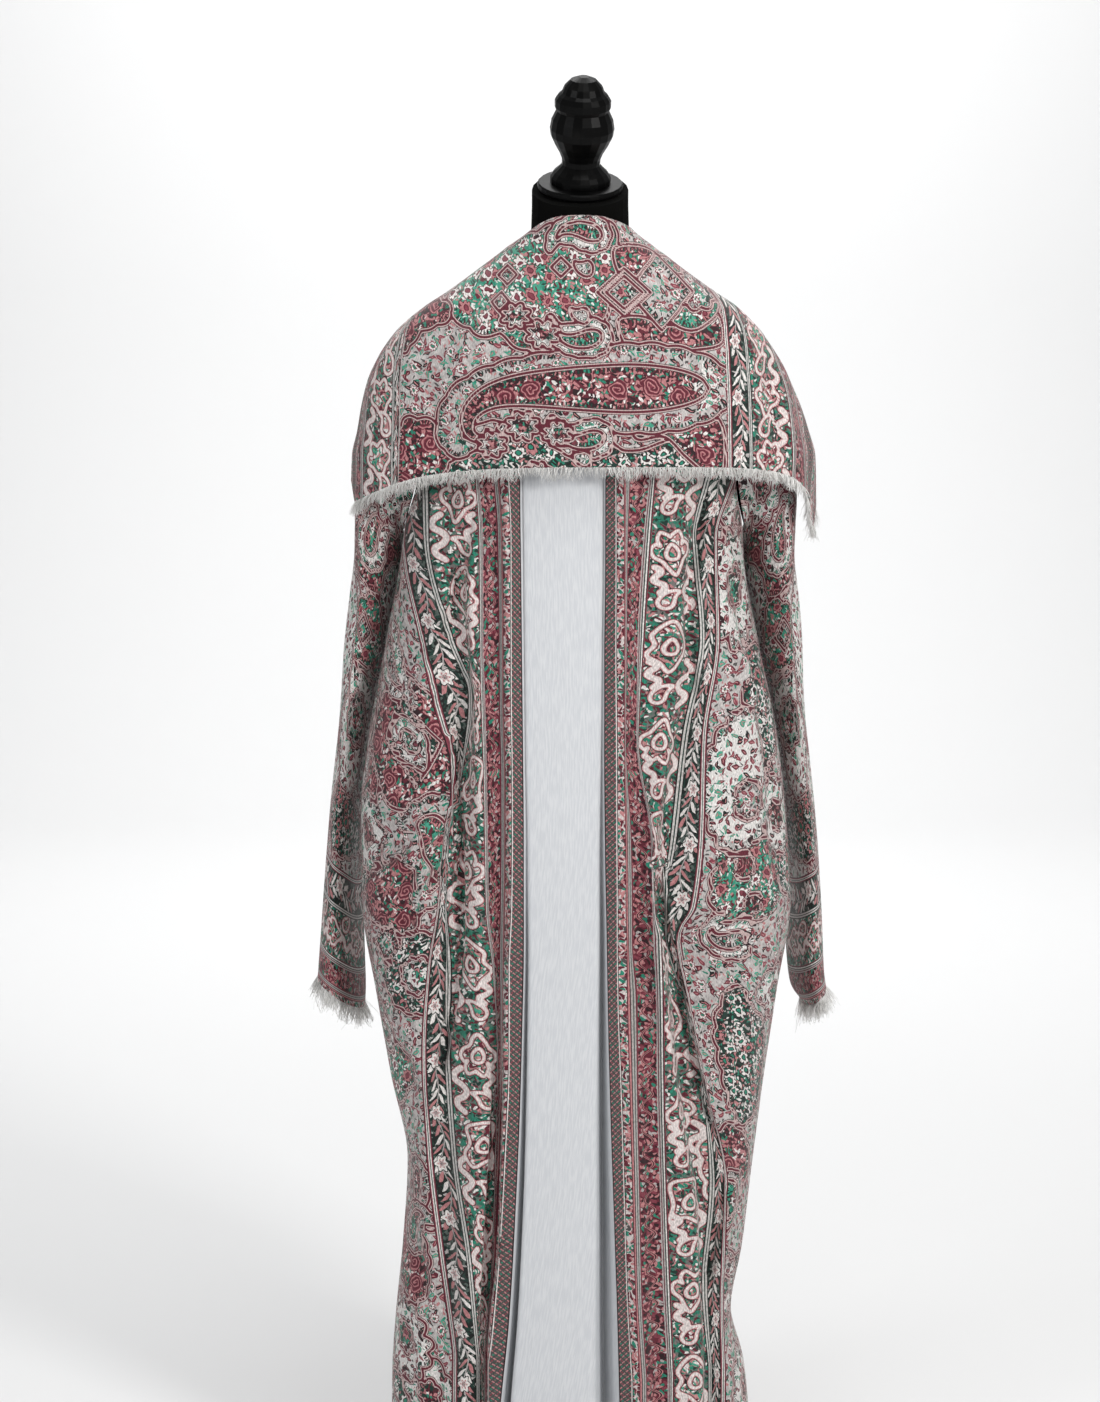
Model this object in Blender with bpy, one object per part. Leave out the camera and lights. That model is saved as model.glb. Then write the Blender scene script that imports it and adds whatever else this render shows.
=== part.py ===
"""A long paisley abaya with a pleated back inset and a fringed cape collar, worn by a dress form.

Metres, +Z up, floor at z = 0. The garment's back faces -Y, which is the side that the photograph
shows, and the wearer's left is -X. All tables are in millimetres unless a column says otherwise.
"""

import math

import bpy
import numpy as np

MM = 0.001

# Cloth and seams
SHAWL_CLOTH = 1.6        # wall of the woven shawl cloth
CREPE_CLOTH = 1.2        # wall of the pale inset
SEAM_GAP = 1.2           # between two edges sewn together
LAP = 5.0                # how far the inset runs under the shawl panels' edges
LAP_DEPTH = 3.6          # how much deeper the inset lies there
HEM_HEIGHT = 40.0
NECK_SEAM_HEIGHT = 1436.0
BODY_POWER = 2.3         # superellipse power of the garment's plan sections

# Armhole: the oval opening in each side of the body
ARMHOLE_CENTRE = 1245.0
ARMHOLE_HALF_HEIGHT = 112.0
ARMHOLE_HALF_DEPTH = 62.0

# Plan sections of the body, from the neck seam to the hem
BODY = {
    "height": (1436, 1424, 1408, 1392, 1374, 1354, 1320, 1280, 1240, 1200, 1150, 1100,
               1000, 900, 800, 700, 600, 500, 400, 300, 220, 150, 40),
    "left":   (67, 88, 120, 152, 177, 189, 195, 195, 195, 195, 198, 204,
               222, 241, 252, 251, 236, 219, 200, 206, 214, 219, 220),
    "right":  (67, 88, 120, 152, 177, 188, 193, 192, 189, 184, 178, 182,
               205, 226, 238, 244, 229, 215, 202, 190, 178, 194, 204),
    "back":   (64, 68, 76, 85, 93, 101, 109, 115, 119, 121, 122, 123,
               126, 130, 134, 137, 138, 138, 138, 139, 140, 142, 144),
    "front":  (68, 71, 77, 84, 91, 98, 108, 118, 128, 136, 138, 137,
               133, 132, 132, 133, 134, 134, 134, 134, 134, 135, 137),
}

# Fold lines of each back panel. Every line has its distance from the middle (x) and how far it
# stands out of the plan section (out) at each height. Lines run from the inset's edge outward.
FOLD_HEIGHTS = (1450, 1300, 1190, 1090, 990, 890, 780, 680, 575, 470, 355, 240, 125, 40)
LEFT_FOLDS = (
    {"x": (42, 62, 67, 66, 65, 64, 63, 63, 65, 68, 73, 80, 91, 96),
     "out": (0, 0, 0, 0, 0, 0, 1, 1, 1, 2, 2, 2, 2, 2)},
    {"x": (45, 74, 81, 80, 79, 78, 76, 78, 82, 85, 89, 97, 101, 105),
     "out": (0, 1, 5, 6, 6, 6, 7, 7, 7, 8, 9, 9, 9, 9)},
    {"x": (47, 84, 93, 94, 92, 90, 89, 90, 93, 95, 100, 107, 112, 117),
     "out": (0, 0, -5, -6, -6, -6, -6, -8, -11, -13, -14, -14, -13, -12)},
    {"x": (51, 101, 121, 120, 118, 112, 108, 112, 114, 117, 120, 127, 132, 139),
     "out": (0, 1, 3, 5, 6, 5, 4, 4, 5, 6, 6, 6, 6, 6)},
    {"x": (55, 119, 146, 140, 130, 130, 139, 148, 154, 155, 152, 152, 157, 165),
     "out": (0, 0, -3, -6, -9, -11, -13, -11, -8, -5, -4, -6, -8, -9)},
    {"x": (60, 150, 168, 162, 165, 169, 178, 180, 180, 176, 170, 176, 183, 190),
     "out": (0, 1, 4, 6, 9, 12, 14, 14, 11, 8, 6, 6, 6, 7)},
)
RIGHT_FOLDS = (
    {"x": (2, 18, 27, 27, 26, 26, 27, 29, 31, 34, 38, 42, 45, 48),
     "out": (0, 0, 0, 0, 0, 0, 1, 1, 1, 2, 2, 2, 2, 2)},
    {"x": (9, 32, 45, 44, 43, 43, 45, 46, 50, 54, 59, 63, 66, 70),
     "out": (0, 1, 4, 5, 5, 5, 5, 6, 6, 7, 7, 8, 8, 8)},
    {"x": (19, 56, 75, 72, 68, 64, 64, 66, 72, 76, 84, 89, 93, 98),
     "out": (0, 0, -3, -4, -5, -6, -7, -7, -6, -5, -4, -4, -5, -6)},
    {"x": (32, 84, 108, 102, 96, 92, 80, 84, 96, 108, 122, 130, 134, 139),
     "out": (0, 1, 4, 6, 6, 5, 6, 8, 9, 9, 8, 8, 7, 7)},
    {"x": (42, 104, 132, 130, 124, 112, 92, 98, 112, 126, 141, 146, 150, 156),
     "out": (0, 0, -3, -6, -8, -11, -13, -14, -14, -13, -11, -9, -8, -8)},
    {"x": (54, 130, 150, 156, 158, 152, 146, 150, 156, 160, 164, 158, 166, 174),
     "out": (0, 0, 3, 5, 8, 11, 13, 13, 11, 8, 6, 5, 6, 7)},
)
# The front is hidden in the photograph: three plain soft folds on each side.
FRONT_FOLD_HEIGHTS = (1450, 1300, 1190, 1000, 800, 600, 400, 200, 40)
FRONT_FOLDS = (
    {"x": (26, 34, 38, 42, 46, 50, 53, 56, 58), "out": (0, 0, 0, 0, 1, 1, 2, 2, 2)},
    {"x": (34, 54, 64, 70, 74, 78, 82, 86, 90), "out": (0, 1, 2, 5, 6, 8, 9, 10, 10)},
    {"x": (42, 76, 92, 98, 104, 108, 112, 116, 120), "out": (0, 0, -1, -4, -6, -8, -9, -10, -10)},
    {"x": (50, 100, 124, 130, 138, 140, 142, 144, 148), "out": (0, 0, 0, 2, 6, 9, 8, 8, 8)},
    {"x": (56, 126, 150, 158, 166, 166, 162, 162, 166), "out": (0, 0, -1, -4, -6, -6, -6, -7, -7)},
)

# Box pleat of the crepe inset: the recess behind each side of its face
PLEAT = {
    "height":     (1450, 1190, 990, 890, 780, 680, 575, 470, 355, 240, 125, 40),
    "left_face":  (2, 3, 3, 3, 4, 5, 6, 7, 8, 9, 11, 13),
    "left_deep":  (0, 1, 1, 1, 3, 8, 14, 18, 22, 26, 30, 32),
    "right_face": (2, 3, 3, 4, 7, 9, 12, 16, 20, 25, 28, 31),
    "right_deep": (0, 1, 1, 3, 10, 18, 26, 32, 38, 42, 45, 46),
}

# Cape collar: plan sections of its outer face, from the roll at the neck to its lowest corner
COLLAR = {
    "height": (1464, 1449, 1438, 1424, 1410, 1396, 1382, 1368, 1354, 1340, 1326, 1298, 1270,
               1241, 1213, 1185, 1150, 1110),
    "left":   (67, 81, 95, 114, 133, 153, 175, 193, 208, 219, 228, 241, 248, 253, 259, 260, 262, 262),
    "right":  (67, 82, 97, 115, 134, 154, 175, 190, 203, 213, 222, 236, 249, 259, 267, 268, 268, 268),
    "back":   (68, 72, 77, 84, 91, 97, 103, 108, 113, 117, 121, 127, 131, 134, 137, 139, 141, 143),
    "front":  (71, 76, 80, 86, 92, 98, 104, 109, 114, 119, 124, 134, 143, 151, 156, 157, 157, 157),
}
COLLAR_POWER = 2.35
# Round the neck from the back (0 degrees) to each front end: the roll's height, the height of
# the lower edge, and how far the collar stands out of its section halfway down and at the edge.
COLLAR_ROUND = {
    "degrees": (-161, -140, -118, -102, -90, -80, -70, -61, -50, -36, -18, 0,
                18, 34, 48, 58, 68, 76, 84, 92, 104, 120, 140, 161),
    "roll":    (1450, 1451, 1452, 1454, 1456, 1458, 1461, 1464, 1468, 1474, 1479, 1480,
                1479, 1475, 1471, 1468, 1464, 1461, 1458, 1456, 1454, 1452, 1451, 1450),
    "edge":    (1188, 1184, 1180, 1180, 1184, 1160, 1163, 1170, 1182, 1194, 1201, 1203,
                1203, 1202, 1198, 1190, 1172, 1143, 1132, 1160, 1178, 1182, 1186, 1188),
    "middle":  (0, 1, 3, 2, 0, -2, 2, 1, 0, -1, 0, 1, 0, 0, 1, 2, 0, 1, 2, 0, 2, 2, 1, 0),
    "rim":     (0, 4, 8, 5, 1, -4, 4, 6, 4, 2, 1, 2, 1, 1, 3, 5, 2, -3, -2, 3, 6, 6, 3, 0),
}
STAND_RADIUS = 62.5      # outer face of the collar's stand, round the neck
STAND_FOOT = 1437.5
COLLAR_FALL_ROWS = 8
COLLAR_COLUMNS = 40

# Sleeves. The top line runs from the shoulder point down the outer side, the bottom line from
# the underarm down the inner side. x is measured from the middle, depth is half the sleeve's
# front-to-back size, forward is how far the middle of the ring lies towards the front and swing
# is how far the bottom line lies forward of the middle and the top line behind it.
SLEEVE_LEFT = {
    "top_x":   (196, 206, 217, 229, 239, 245, 251, 257, 264, 272, 280, 288, 295, 301, 305, 306),
    "top_z":   (1356, 1347, 1329, 1304, 1270, 1230, 1180, 1110, 1035, 955, 880, 810, 740, 670, 622, 604),
    "low_x":   (197, 199, 200, 201, 202, 202, 204, 210, 222, 236, 247, 254, 256, 255, 253, 253),
    "low_z":   (1134, 1132, 1129, 1125, 1118, 1106, 1084, 1040, 980, 905, 838, 770, 700, 640, 582, 562),
    "depth":   (62, 62, 61, 60, 58, 56, 54, 53, 52, 52, 52, 53, 54, 54, 54, 54),
    "forward": (0, 1, 3, 6, 10, 15, 20, 26, 34, 40, 44, 46, 46, 46, 46, 46),
    "swing":   (0, 3, 7, 12, 18, 24, 29, 32, 34, 34, 33, 31, 28, 24, 20, 18),
}
SLEEVE_RIGHT = {
    "top_x":   (194, 202, 212, 222, 234, 240, 243, 245, 251, 256, 264, 272, 279, 284, 287, 289),
    "top_z":   (1356, 1347, 1329, 1304, 1270, 1230, 1180, 1110, 1035, 955, 880, 810, 740, 670, 612, 592),
    "low_x":   (191, 191, 189, 187, 186, 186, 187, 194, 206, 220, 232, 241, 248, 247, 251, 264),
    "low_z":   (1134, 1132, 1129, 1125, 1118, 1106, 1084, 1040, 980, 905, 838, 770, 700, 640, 590, 568),
    "depth":   (62, 62, 61, 60, 58, 56, 54, 53, 52, 52, 52, 53, 54, 54, 54, 54),
    "forward": (0, 1, 3, 6, 10, 15, 20, 26, 34, 40, 44, 46, 46, 46, 46, 46),
    "swing":   (0, 3, 7, 12, 18, 24, 29, 32, 34, 34, 33, 31, 28, 24, 20, 18),
}
SLEEVE_STEP = {"left": 1.8, "right": 2.8}    # how far the first ring stands out of the armhole
SLEEVE_ROUND = 18        # points round a sleeve
SLEEVE_JOIN_ROWS = 4     # rings over which the armhole's shape turns into the sleeve's

# Fringes: frayed warp ends on the collar's back edge and on both cuffs
COLLAR_FRINGE_FROM, COLLAR_FRINGE_TO = 10, 30    # columns of the collar's lower edge
STRANDS_PER_COLUMN = 3
COLLAR_FRINGE_LENGTH = (7.5, 9.5, 6.5, 9.0, 8.0)
CUFF_FRINGE_STRANDS = 24
CUFF_FRINGE_LENGTH = (18.0, 15.0, 21.0, 16.5, 19.5)
FRINGE_STRIP = 5.0       # height of the frayed edge that carries the strands
FRINGE_GAP = 1.2         # between the cloth's edge and the strip

# Dress form. The shoulders carry the robe: from 1354 to 1424 the side column lies just inside the
# body's panels. The neck's top and the cap lean to the back as the photograph shows.
FORM = {
    "height": (742, 752, 780, 830, 880, 930, 980, 1060, 1110, 1150, 1200, 1240, 1280, 1316,
               1336, 1354, 1374, 1392, 1408, 1424, 1436, 1448, 1476, 1494, 1511.5),
    "side":   (112, 140, 160, 170, 173, 168, 156, 126, 134, 148, 160, 168, 174, 178,
               180, 180, 172.2, 146.8, 114.6, 82.2, 60, 56, 55, 54.5, 54.5),
    "back":   (70, 92, 106, 114, 116, 110, 98, 82, 90, 98, 106, 108, 106, 101,
               96, 90, 83, 75, 67, 60, 57, 55.5, 55, 54.5, 54.5),
    "front":  (66, 86, 98, 104, 104, 98, 92, 86, 100, 116, 126, 118, 104, 92,
               82, 72, 57, 46, 44, 50, 55, 55.5, 55, 54.5, 54.5),
}
FORM_POWER = 2.15
FORM_ROUND = 24
NECK_LEAN = math.radians(22.5)
CAP_SIDE_LEAN = math.radians(1.6)
NECK_TOP_HEIGHT = 1511.5
NECK_LEAN_FROM = 1448.0
CAP_RADIUS, CAP_THICK, CAP_LIFT = 48.4, 9.2, 1.8
# Turned finial: radius and height above the cap's top
FINIAL = {
    "radius": (34.0, 34.0, 30.5, 26.0, 21.5, 21.8, 25.0, 30.5, 35.0, 36.2, 34.5, 29.8,
               31.5, 31.5, 28.0, 24.3, 21.5, 14.5, 6.0),
    "height": (0.0, 7.0, 12.0, 16.0, 21.0, 27.0, 35.0, 44.5, 54.0, 62.5, 73.0, 83.0,
               87.0, 95.0, 100.5, 103.5, 110.5, 118.0, 121.5),
}
FINIAL_ROUND = 20
POLE_RADIUS = 16.0
BASE_PROFILE = {
    "radius": (161.0, 165.0, 165.0, 157.0, 44.0, 28.0, 24.0),
    "height": (0.0, 4.0, 15.0, 21.0, 28.0, 36.0, 52.0),
}
BASE_ROUND = 40

COLOURS = {
    "shawl_cloth": ((0.38, 0.27, 0.27), 0.75, 0.0),
    "crepe": ((0.66, 0.68, 0.71), 0.85, 0.0),
    "fringe_yarn": ((0.86, 0.85, 0.82), 0.9, 0.0),
    "form_jersey": ((0.012, 0.012, 0.013), 0.95, 0.0),
    "black_wood": ((0.02, 0.02, 0.02), 0.45, 0.0),
}


def smooth(at, heights, values):
    """Cubic through a table's rows, with limited slopes so that it doesn't overshoot."""
    x = np.array(heights, float)
    y = np.array(values, float)
    if x[0] > x[-1]:
        x, y = x[::-1], y[::-1]
    step = np.diff(x)
    slope = np.diff(y) / step
    tangent = np.empty_like(y)
    tangent[1:-1] = np.where(slope[1:] * slope[:-1] > 0,
                             2 * slope[1:] * slope[:-1] / (slope[1:] + slope[:-1] + 1e-12), 0.0)
    tangent[0], tangent[-1] = slope[0], slope[-1]
    at = np.clip(np.asarray(at, float), x[0], x[-1])
    k = np.clip(np.searchsorted(x, at) - 1, 0, len(step) - 1)
    t = (at - x[k]) / step[k]
    h = step[k]
    return ((2 * t**3 - 3 * t**2 + 1) * y[k] + (t**3 - 2 * t**2 + t) * h * tangent[k]
            + (3 * t**2 - 2 * t**3) * y[k + 1] + (t**3 - t**2) * h * tangent[k + 1])


def plan_point(table, power, height, angle, left="left", right="right"):
    """Point and outward normal of a plan section, in mm. Angle 0 is the back, 90 degrees +X."""
    side = np.where(np.sin(angle) < 0, smooth(height, table["height"], table[left]),
                    smooth(height, table["height"], table[right]))
    deep = np.where(np.cos(angle) > 0, smooth(height, table["height"], table["back"]),
                    smooth(height, table["height"], table["front"]))
    s, c = np.sin(angle), np.cos(angle)
    x = side * np.sign(s) * np.abs(s) ** (2 / power)
    y = -deep * np.sign(c) * np.abs(c) ** (2 / power)
    nx = np.sign(s) * np.abs(s) ** (2 - 2 / power) / side
    ny = -np.sign(c) * np.abs(c) ** (2 - 2 / power) / deep
    length = np.hypot(nx, ny)
    return x, y, nx / length, ny / length


def turn_at(height, x):
    """How far round the body's section x lies: 0 at the middle of the back or front, 90 degrees
    at the side, with the sign of x."""
    x = np.asarray(x, float)
    side = np.where(x < 0, smooth(height, BODY["height"], BODY["left"]),
                    smooth(height, BODY["height"], BODY["right"]))
    return np.sign(x) * np.arcsin(np.clip(np.abs(x) / side, 0, 1) ** (BODY_POWER / 2))


def armhole_half_depth(height):
    """Half of the armhole's front-to-back size at a height, 0 above and below it."""
    share = (height - ARMHOLE_CENTRE) / ARMHOLE_HALF_HEIGHT
    return ARMHOLE_HALF_DEPTH * math.sqrt(max(0.0, 1 - share * share))


def side_turn(height, front):
    """Where a panel ends: at the side seam, the shoulder seam or the armhole."""
    away = max(armhole_half_depth(height), SEAM_GAP / 2)
    deep = float(smooth(height, BODY["height"], BODY["front" if front else "back"]))
    return math.acos(min(1.0, away / deep) ** (BODY_POWER / 2))


def panel_row(height, folds, fold_heights, side, columns, front=False):
    """One row of a panel, from its free edge through its fold lines to the side."""
    sign = -1 if side == "left" else 1
    end = side_turn(height, front)
    turns, outs = [], []
    for line in folds:
        x = float(smooth(height, fold_heights, line["x"]))
        turns.append(abs(float(turn_at(height, sign * x))))
        outs.append(float(smooth(height, fold_heights, line["out"])))
    # Fold lines that would lie past the side are drawn back before it.
    for i in range(1, len(turns)):
        turns[i] = min(turns[i], end - 0.06 * (len(turns) - i))
    turns.append(end)
    outs.append(0.0)
    where = np.linspace(0, len(turns) - 1, columns)
    k = np.minimum(where.astype(int), len(turns) - 2)
    t = where - k
    soft = t * t * (3 - 2 * t)
    turns, outs = np.array(turns), np.array(outs)
    angle = turns[k] * (1 - t) + turns[k + 1] * t
    angle = sign * (math.pi - angle if front else angle)
    out = outs[k] * (1 - soft) + outs[k + 1] * soft
    x, y, nx, ny = plan_point(BODY, BODY_POWER, np.full(columns, height), angle)
    return np.stack([x + nx * out, y + ny * out, np.full(columns, height)], axis=1) * MM


def row_heights(top, bottom, rows):
    """Rows closer together over the shoulders, where the panel is nearly level."""
    shoulder = [h for h in (1436, 1424, 1408, 1392, 1374, 1352, 1322, 1284, 1240) if h <= top]
    below = list(np.linspace(1190, bottom, rows - len(shoulder)))
    return shoulder + below


def follow_panel(height, folds, away):
    """How far a panel stands out a short way from its edge, between its first two fold lines."""
    first, second = ((float(smooth(height, FOLD_HEIGHTS, line["x"])),
                      float(smooth(height, FOLD_HEIGHTS, line["out"]))) for line in folds[:2])
    t = min(1.0, away / (second[0] - first[0]))
    return first[1] + (second[1] - first[1]) * t * t * (3 - 2 * t)


def inset_row(height, columns):
    """One row of the crepe inset, under both panels' edges and round its box pleat."""
    left = -float(smooth(height, FOLD_HEIGHTS, LEFT_FOLDS[0]["x"]))
    right = float(smooth(height, FOLD_HEIGHTS, RIGHT_FOLDS[0]["x"]))
    left_out = float(smooth(height, FOLD_HEIGHTS, LEFT_FOLDS[0]["out"])) - LAP_DEPTH
    right_out = float(smooth(height, FOLD_HEIGHTS, RIGHT_FOLDS[0]["out"])) - LAP_DEPTH
    face_left, deep_left, face_right, deep_right = (
        float(smooth(height, PLEAT["height"], PLEAT[k]))
        for k in ("left_face", "left_deep", "right_face", "right_deep"))
    lap = min(LAP, 0.2 * (right - left))
    lines = (
        (left - lap, follow_panel(height, LEFT_FOLDS, lap) - LAP_DEPTH),
        (left, left_out),
        (left + 0.5 * face_left, left_out - deep_left),
        (left + face_left, left_out),
        (0.5 * (left + face_left + right - face_right), 0.5 * (left_out + right_out) + 0.6),
        (right - face_right, right_out),
        (right - 0.5 * face_right, right_out - deep_right),
        (right, right_out),
        (right + lap, follow_panel(height, RIGHT_FOLDS, lap) - LAP_DEPTH),
    )
    xs = np.array([x for x, _ in lines])
    outs = np.array([out for _, out in lines])
    where = np.linspace(0, len(lines) - 1, columns)
    k = np.minimum(where.astype(int), len(lines) - 2)
    t = where - k
    x = xs[k] * (1 - t) + xs[k + 1] * t
    out = outs[k] * (1 - t) + outs[k + 1] * t
    angle = turn_at(np.full(columns, height), x)
    px, py, nx, ny = plan_point(BODY, BODY_POWER, np.full(columns, height), angle)
    return np.stack([px + nx * out, py + ny * out, np.full(columns, height)], axis=1) * MM


def collar_grid(columns, rows):
    """The cape collar as rows from the stand's foot over the roll and down to the lower edge."""
    degrees = np.linspace(COLLAR_ROUND["degrees"][0], COLLAR_ROUND["degrees"][-1], columns)
    roll, edge, middle, rim = (
        smooth(degrees, COLLAR_ROUND["degrees"], COLLAR_ROUND[k])
        for k in ("roll", "edge", "middle", "rim"))
    angle = np.radians(degrees)
    grid = []
    top = COLLAR["height"][0]
    neck = float(STAND_RADIUS)
    for share, inset in ((0.0, 1.0), (0.8, 0.0)):
        z = STAND_FOOT + (roll - 6.0 - STAND_FOOT) * share
        r = neck + inset
        grid.append(np.stack([r * np.sin(angle), -r * np.cos(angle), z], axis=1))
    # The roll turns outward over the stand, then the fall follows the sections.
    x, y, nx, ny = plan_point(COLLAR, COLLAR_POWER, np.full(columns, float(top)), angle)
    crest = np.stack([0.5 * (x + neck * np.sin(angle)), 0.5 * (y - neck * np.cos(angle)), roll], axis=1)
    grid.append(crest)
    for row in range(rows):
        share = (row / (rows - 1)) ** 0.85
        start = roll - 9.0
        z = start + (edge - start) * share
        section = np.minimum(z, top)
        x, y, nx, ny = plan_point(COLLAR, COLLAR_POWER, section, angle)
        out = middle * math.sin(math.pi * share) + rim * share ** 2
        grid.append(np.stack([x + nx * out, y + ny * out, z], axis=1))
    return np.array(grid) * MM


def sleeve_grid(table, side, rings=None):
    """Rings from the armhole's edge to the cuff. Point 0 is the shoulder, then towards the back."""
    sign = -1 if side == "left" else 1
    count = len(table["top_x"])
    rings = rings or count
    where = np.linspace(0, count - 1, rings)
    position = np.arange(count)
    column = {k: smooth(where, position, table[k]) for k in table}
    turn = np.linspace(0, 2 * math.pi, SLEEVE_ROUND, endpoint=False)
    grid = []
    for i in range(rings):
        forward, swing = column["forward"][i], column["swing"][i]
        top = np.array([column["top_x"][i], forward - swing, column["top_z"][i]])
        low = np.array([column["low_x"][i], forward + swing, column["low_z"][i]])
        middle, half = (top + low) / 2, (top - low) / 2
        ring = middle + np.outer(np.cos(turn), half)
        ring[:, 1] -= column["depth"][i] * np.sin(turn)
        hold = max(0.0, 1 - where[i] / SLEEVE_JOIN_ROWS)
        if hold > 0:
            ring = ring * (1 - hold ** 1.5) + armhole_ring(turn, side) * hold ** 1.5
        ring[:, 0] *= sign
        grid.append(ring)
    return np.array(grid) * MM


def armhole_ring(turn, side):
    """The sleeve's first ring, on the body's surface just inside the armhole's edge."""
    points = []
    for t in turn:
        height = ARMHOLE_CENTRE + ARMHOLE_HALF_HEIGHT * math.cos(t)
        away = ARMHOLE_HALF_DEPTH * abs(math.sin(t))
        front = math.sin(t) < 0
        deep = float(smooth(height, BODY["height"], BODY["front" if front else "back"]))
        wide = float(smooth(height, BODY["height"], BODY[side]))
        x = wide * (1 - (away / deep) ** BODY_POWER) ** (1 / BODY_POWER)
        points.append((x + SLEEVE_STEP[side], away if front else -away, height))
    return np.array(points)


def material(name):
    colour, roughness, metallic = COLOURS[name]
    made = bpy.data.materials.get(name) or bpy.data.materials.new(name)
    made.use_nodes = True
    shader = made.node_tree.nodes["Principled BSDF"]
    shader.inputs["Base Color"].default_value = (*colour, 1.0)
    shader.inputs["Roughness"].default_value = roughness
    shader.inputs["Metallic"].default_value = metallic
    made.diffuse_color = (*colour, 1.0)
    return made


def add_mesh(name, points, faces, finish, smooth_angle=50):
    mesh = bpy.data.meshes.new(name)
    mesh.from_pydata([tuple(p) for p in points], [], faces)
    mesh.materials.append(material(finish))
    mesh.shade_smooth()
    mesh.set_sharp_from_angle(angle=math.radians(smooth_angle))
    made = bpy.data.objects.new(name, mesh)
    bpy.context.scene.collection.objects.link(made)
    return made


def grid_normals(grid, closed):
    """Unit normals of a grid of points. They point outward when columns run anticlockwise."""
    if closed:
        along = np.roll(grid, -1, axis=1) - np.roll(grid, 1, axis=1)
    else:
        along = np.gradient(grid, axis=1)
    down = np.gradient(grid, axis=0)
    normal = np.cross(down, along)
    return normal / np.linalg.norm(normal, axis=2, keepdims=True)


def wall(name, grid, thick, finish, closed=False, outward=1):
    """A cloth wall whose outer face is the grid. outward is -1 where the columns run clockwise."""
    rows, columns, _ = grid.shape
    inner = grid - grid_normals(grid, closed) * outward * thick * MM
    points = np.concatenate([grid.reshape(-1, 3), inner.reshape(-1, 3)])
    size = rows * columns
    spans = columns if closed else columns - 1
    faces = []
    for r in range(rows - 1):
        for c in range(spans):
            a, b = r * columns + c, r * columns + (c + 1) % columns
            d, e = a + columns, b + columns
            faces.append((a, d, e, b))
            faces.append((a + size, b + size, e + size, d + size))
    for c in range(spans):
        a, b = c, (c + 1) % columns
        faces.append((a, b, b + size, a + size))
        a, b = a + (rows - 1) * columns, b + (rows - 1) * columns
        faces.append((b, a, a + size, b + size))
    if not closed:
        for r in range(rows - 1):
            a, b = r * columns, (r + 1) * columns
            faces.append((b, a, a + size, b + size))
            a, b = a + columns - 1, b + columns - 1
            faces.append((a, b, b + size, a + size))
    if outward < 0:
        faces = [face[::-1] for face in faces]
    return add_mesh(name, points, faces, finish)


def fringe(name, edge, down, hang, thick, lengths, closed=False, outward=1):
    """A frayed edge: a narrow strip with strands grown from every other span of its lower rim.

    edge is the strip's upper outer line, down its unit direction at each point and hang the way
    in which the strands fall.
    """
    count = len(edge)
    across = np.roll(edge, -1, axis=0) - np.roll(edge, 1, axis=0) if closed else np.gradient(edge, axis=0)
    normal = np.cross(down, across)
    normal *= outward / np.linalg.norm(normal, axis=1, keepdims=True)
    low = edge + down * FRINGE_STRIP * MM
    rings = [edge, low, edge - normal * thick * MM, low - normal * thick * MM]
    points = np.concatenate(rings)
    spans = count if closed else count - 1
    faces = []
    tips = []
    for c in range(spans):
        d = (c + 1) % count
        top, bottom, top_in, bottom_in = (
            (c + k * count, d + k * count) for k in range(4))
        faces.append((top[0], bottom[0], bottom[1], top[1]))
        faces.append((top_in[1], bottom_in[1], bottom_in[0], top_in[0]))
        faces.append((top[0], top[1], top_in[1], top_in[0]))
        if c % 2:
            faces.append((bottom[1], bottom[0], bottom_in[0], bottom_in[1]))
            continue
        length = lengths[(c // 2) % len(lengths)]
        root = [points[i] for i in (bottom[0], bottom[1], bottom_in[1], bottom_in[0])]
        centre = sum(root) / 4
        lean = (across[c] / np.linalg.norm(across[c])) * length * 0.12 * math.sin(2.4 * c)
        first = len(points) + len(tips)
        for corner in root:
            tips.append(centre + (corner - centre) * 0.55 + (hang[c] * length + lean) * MM)
        around = (bottom[0], bottom[1], bottom_in[1], bottom_in[0])
        for k in range(4):
            n = (k + 1) % 4
            faces.append((around[k], first + k, first + n, around[n]))
        faces.append((first, first + 3, first + 2, first + 1))
    if not closed:
        last = count - 1
        faces.append((count, 0, 2 * count, 3 * count))
        faces.append((last, last + count, last + 3 * count, last + 2 * count))
    if outward < 0:
        faces = [face[::-1] for face in faces]
    return add_mesh(name, np.concatenate([points, np.array(tips)]), faces, "fringe_yarn")


def turned(name, radii, heights, finish, sides, place=None):
    """A solid of revolution about Z, closed at both ends."""
    turn = np.linspace(0, 2 * math.pi, sides, endpoint=False)
    points = [(r * math.cos(t) * MM, r * math.sin(t) * MM, h * MM)
              for r, h in zip(radii, heights) for t in turn]
    faces = []
    for r in range(len(radii) - 1):
        for c in range(sides):
            a, b = r * sides + c, r * sides + (c + 1) % sides
            faces.append((a, b, b + sides, a + sides))
    faces.append(tuple(reversed(range(sides))))
    faces.append(tuple(range((len(radii) - 1) * sides, len(radii) * sides)))
    made = add_mesh(name, points, faces, finish, smooth_angle=35)
    if place:
        made.location, made.rotation_euler = place
    return made


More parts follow.
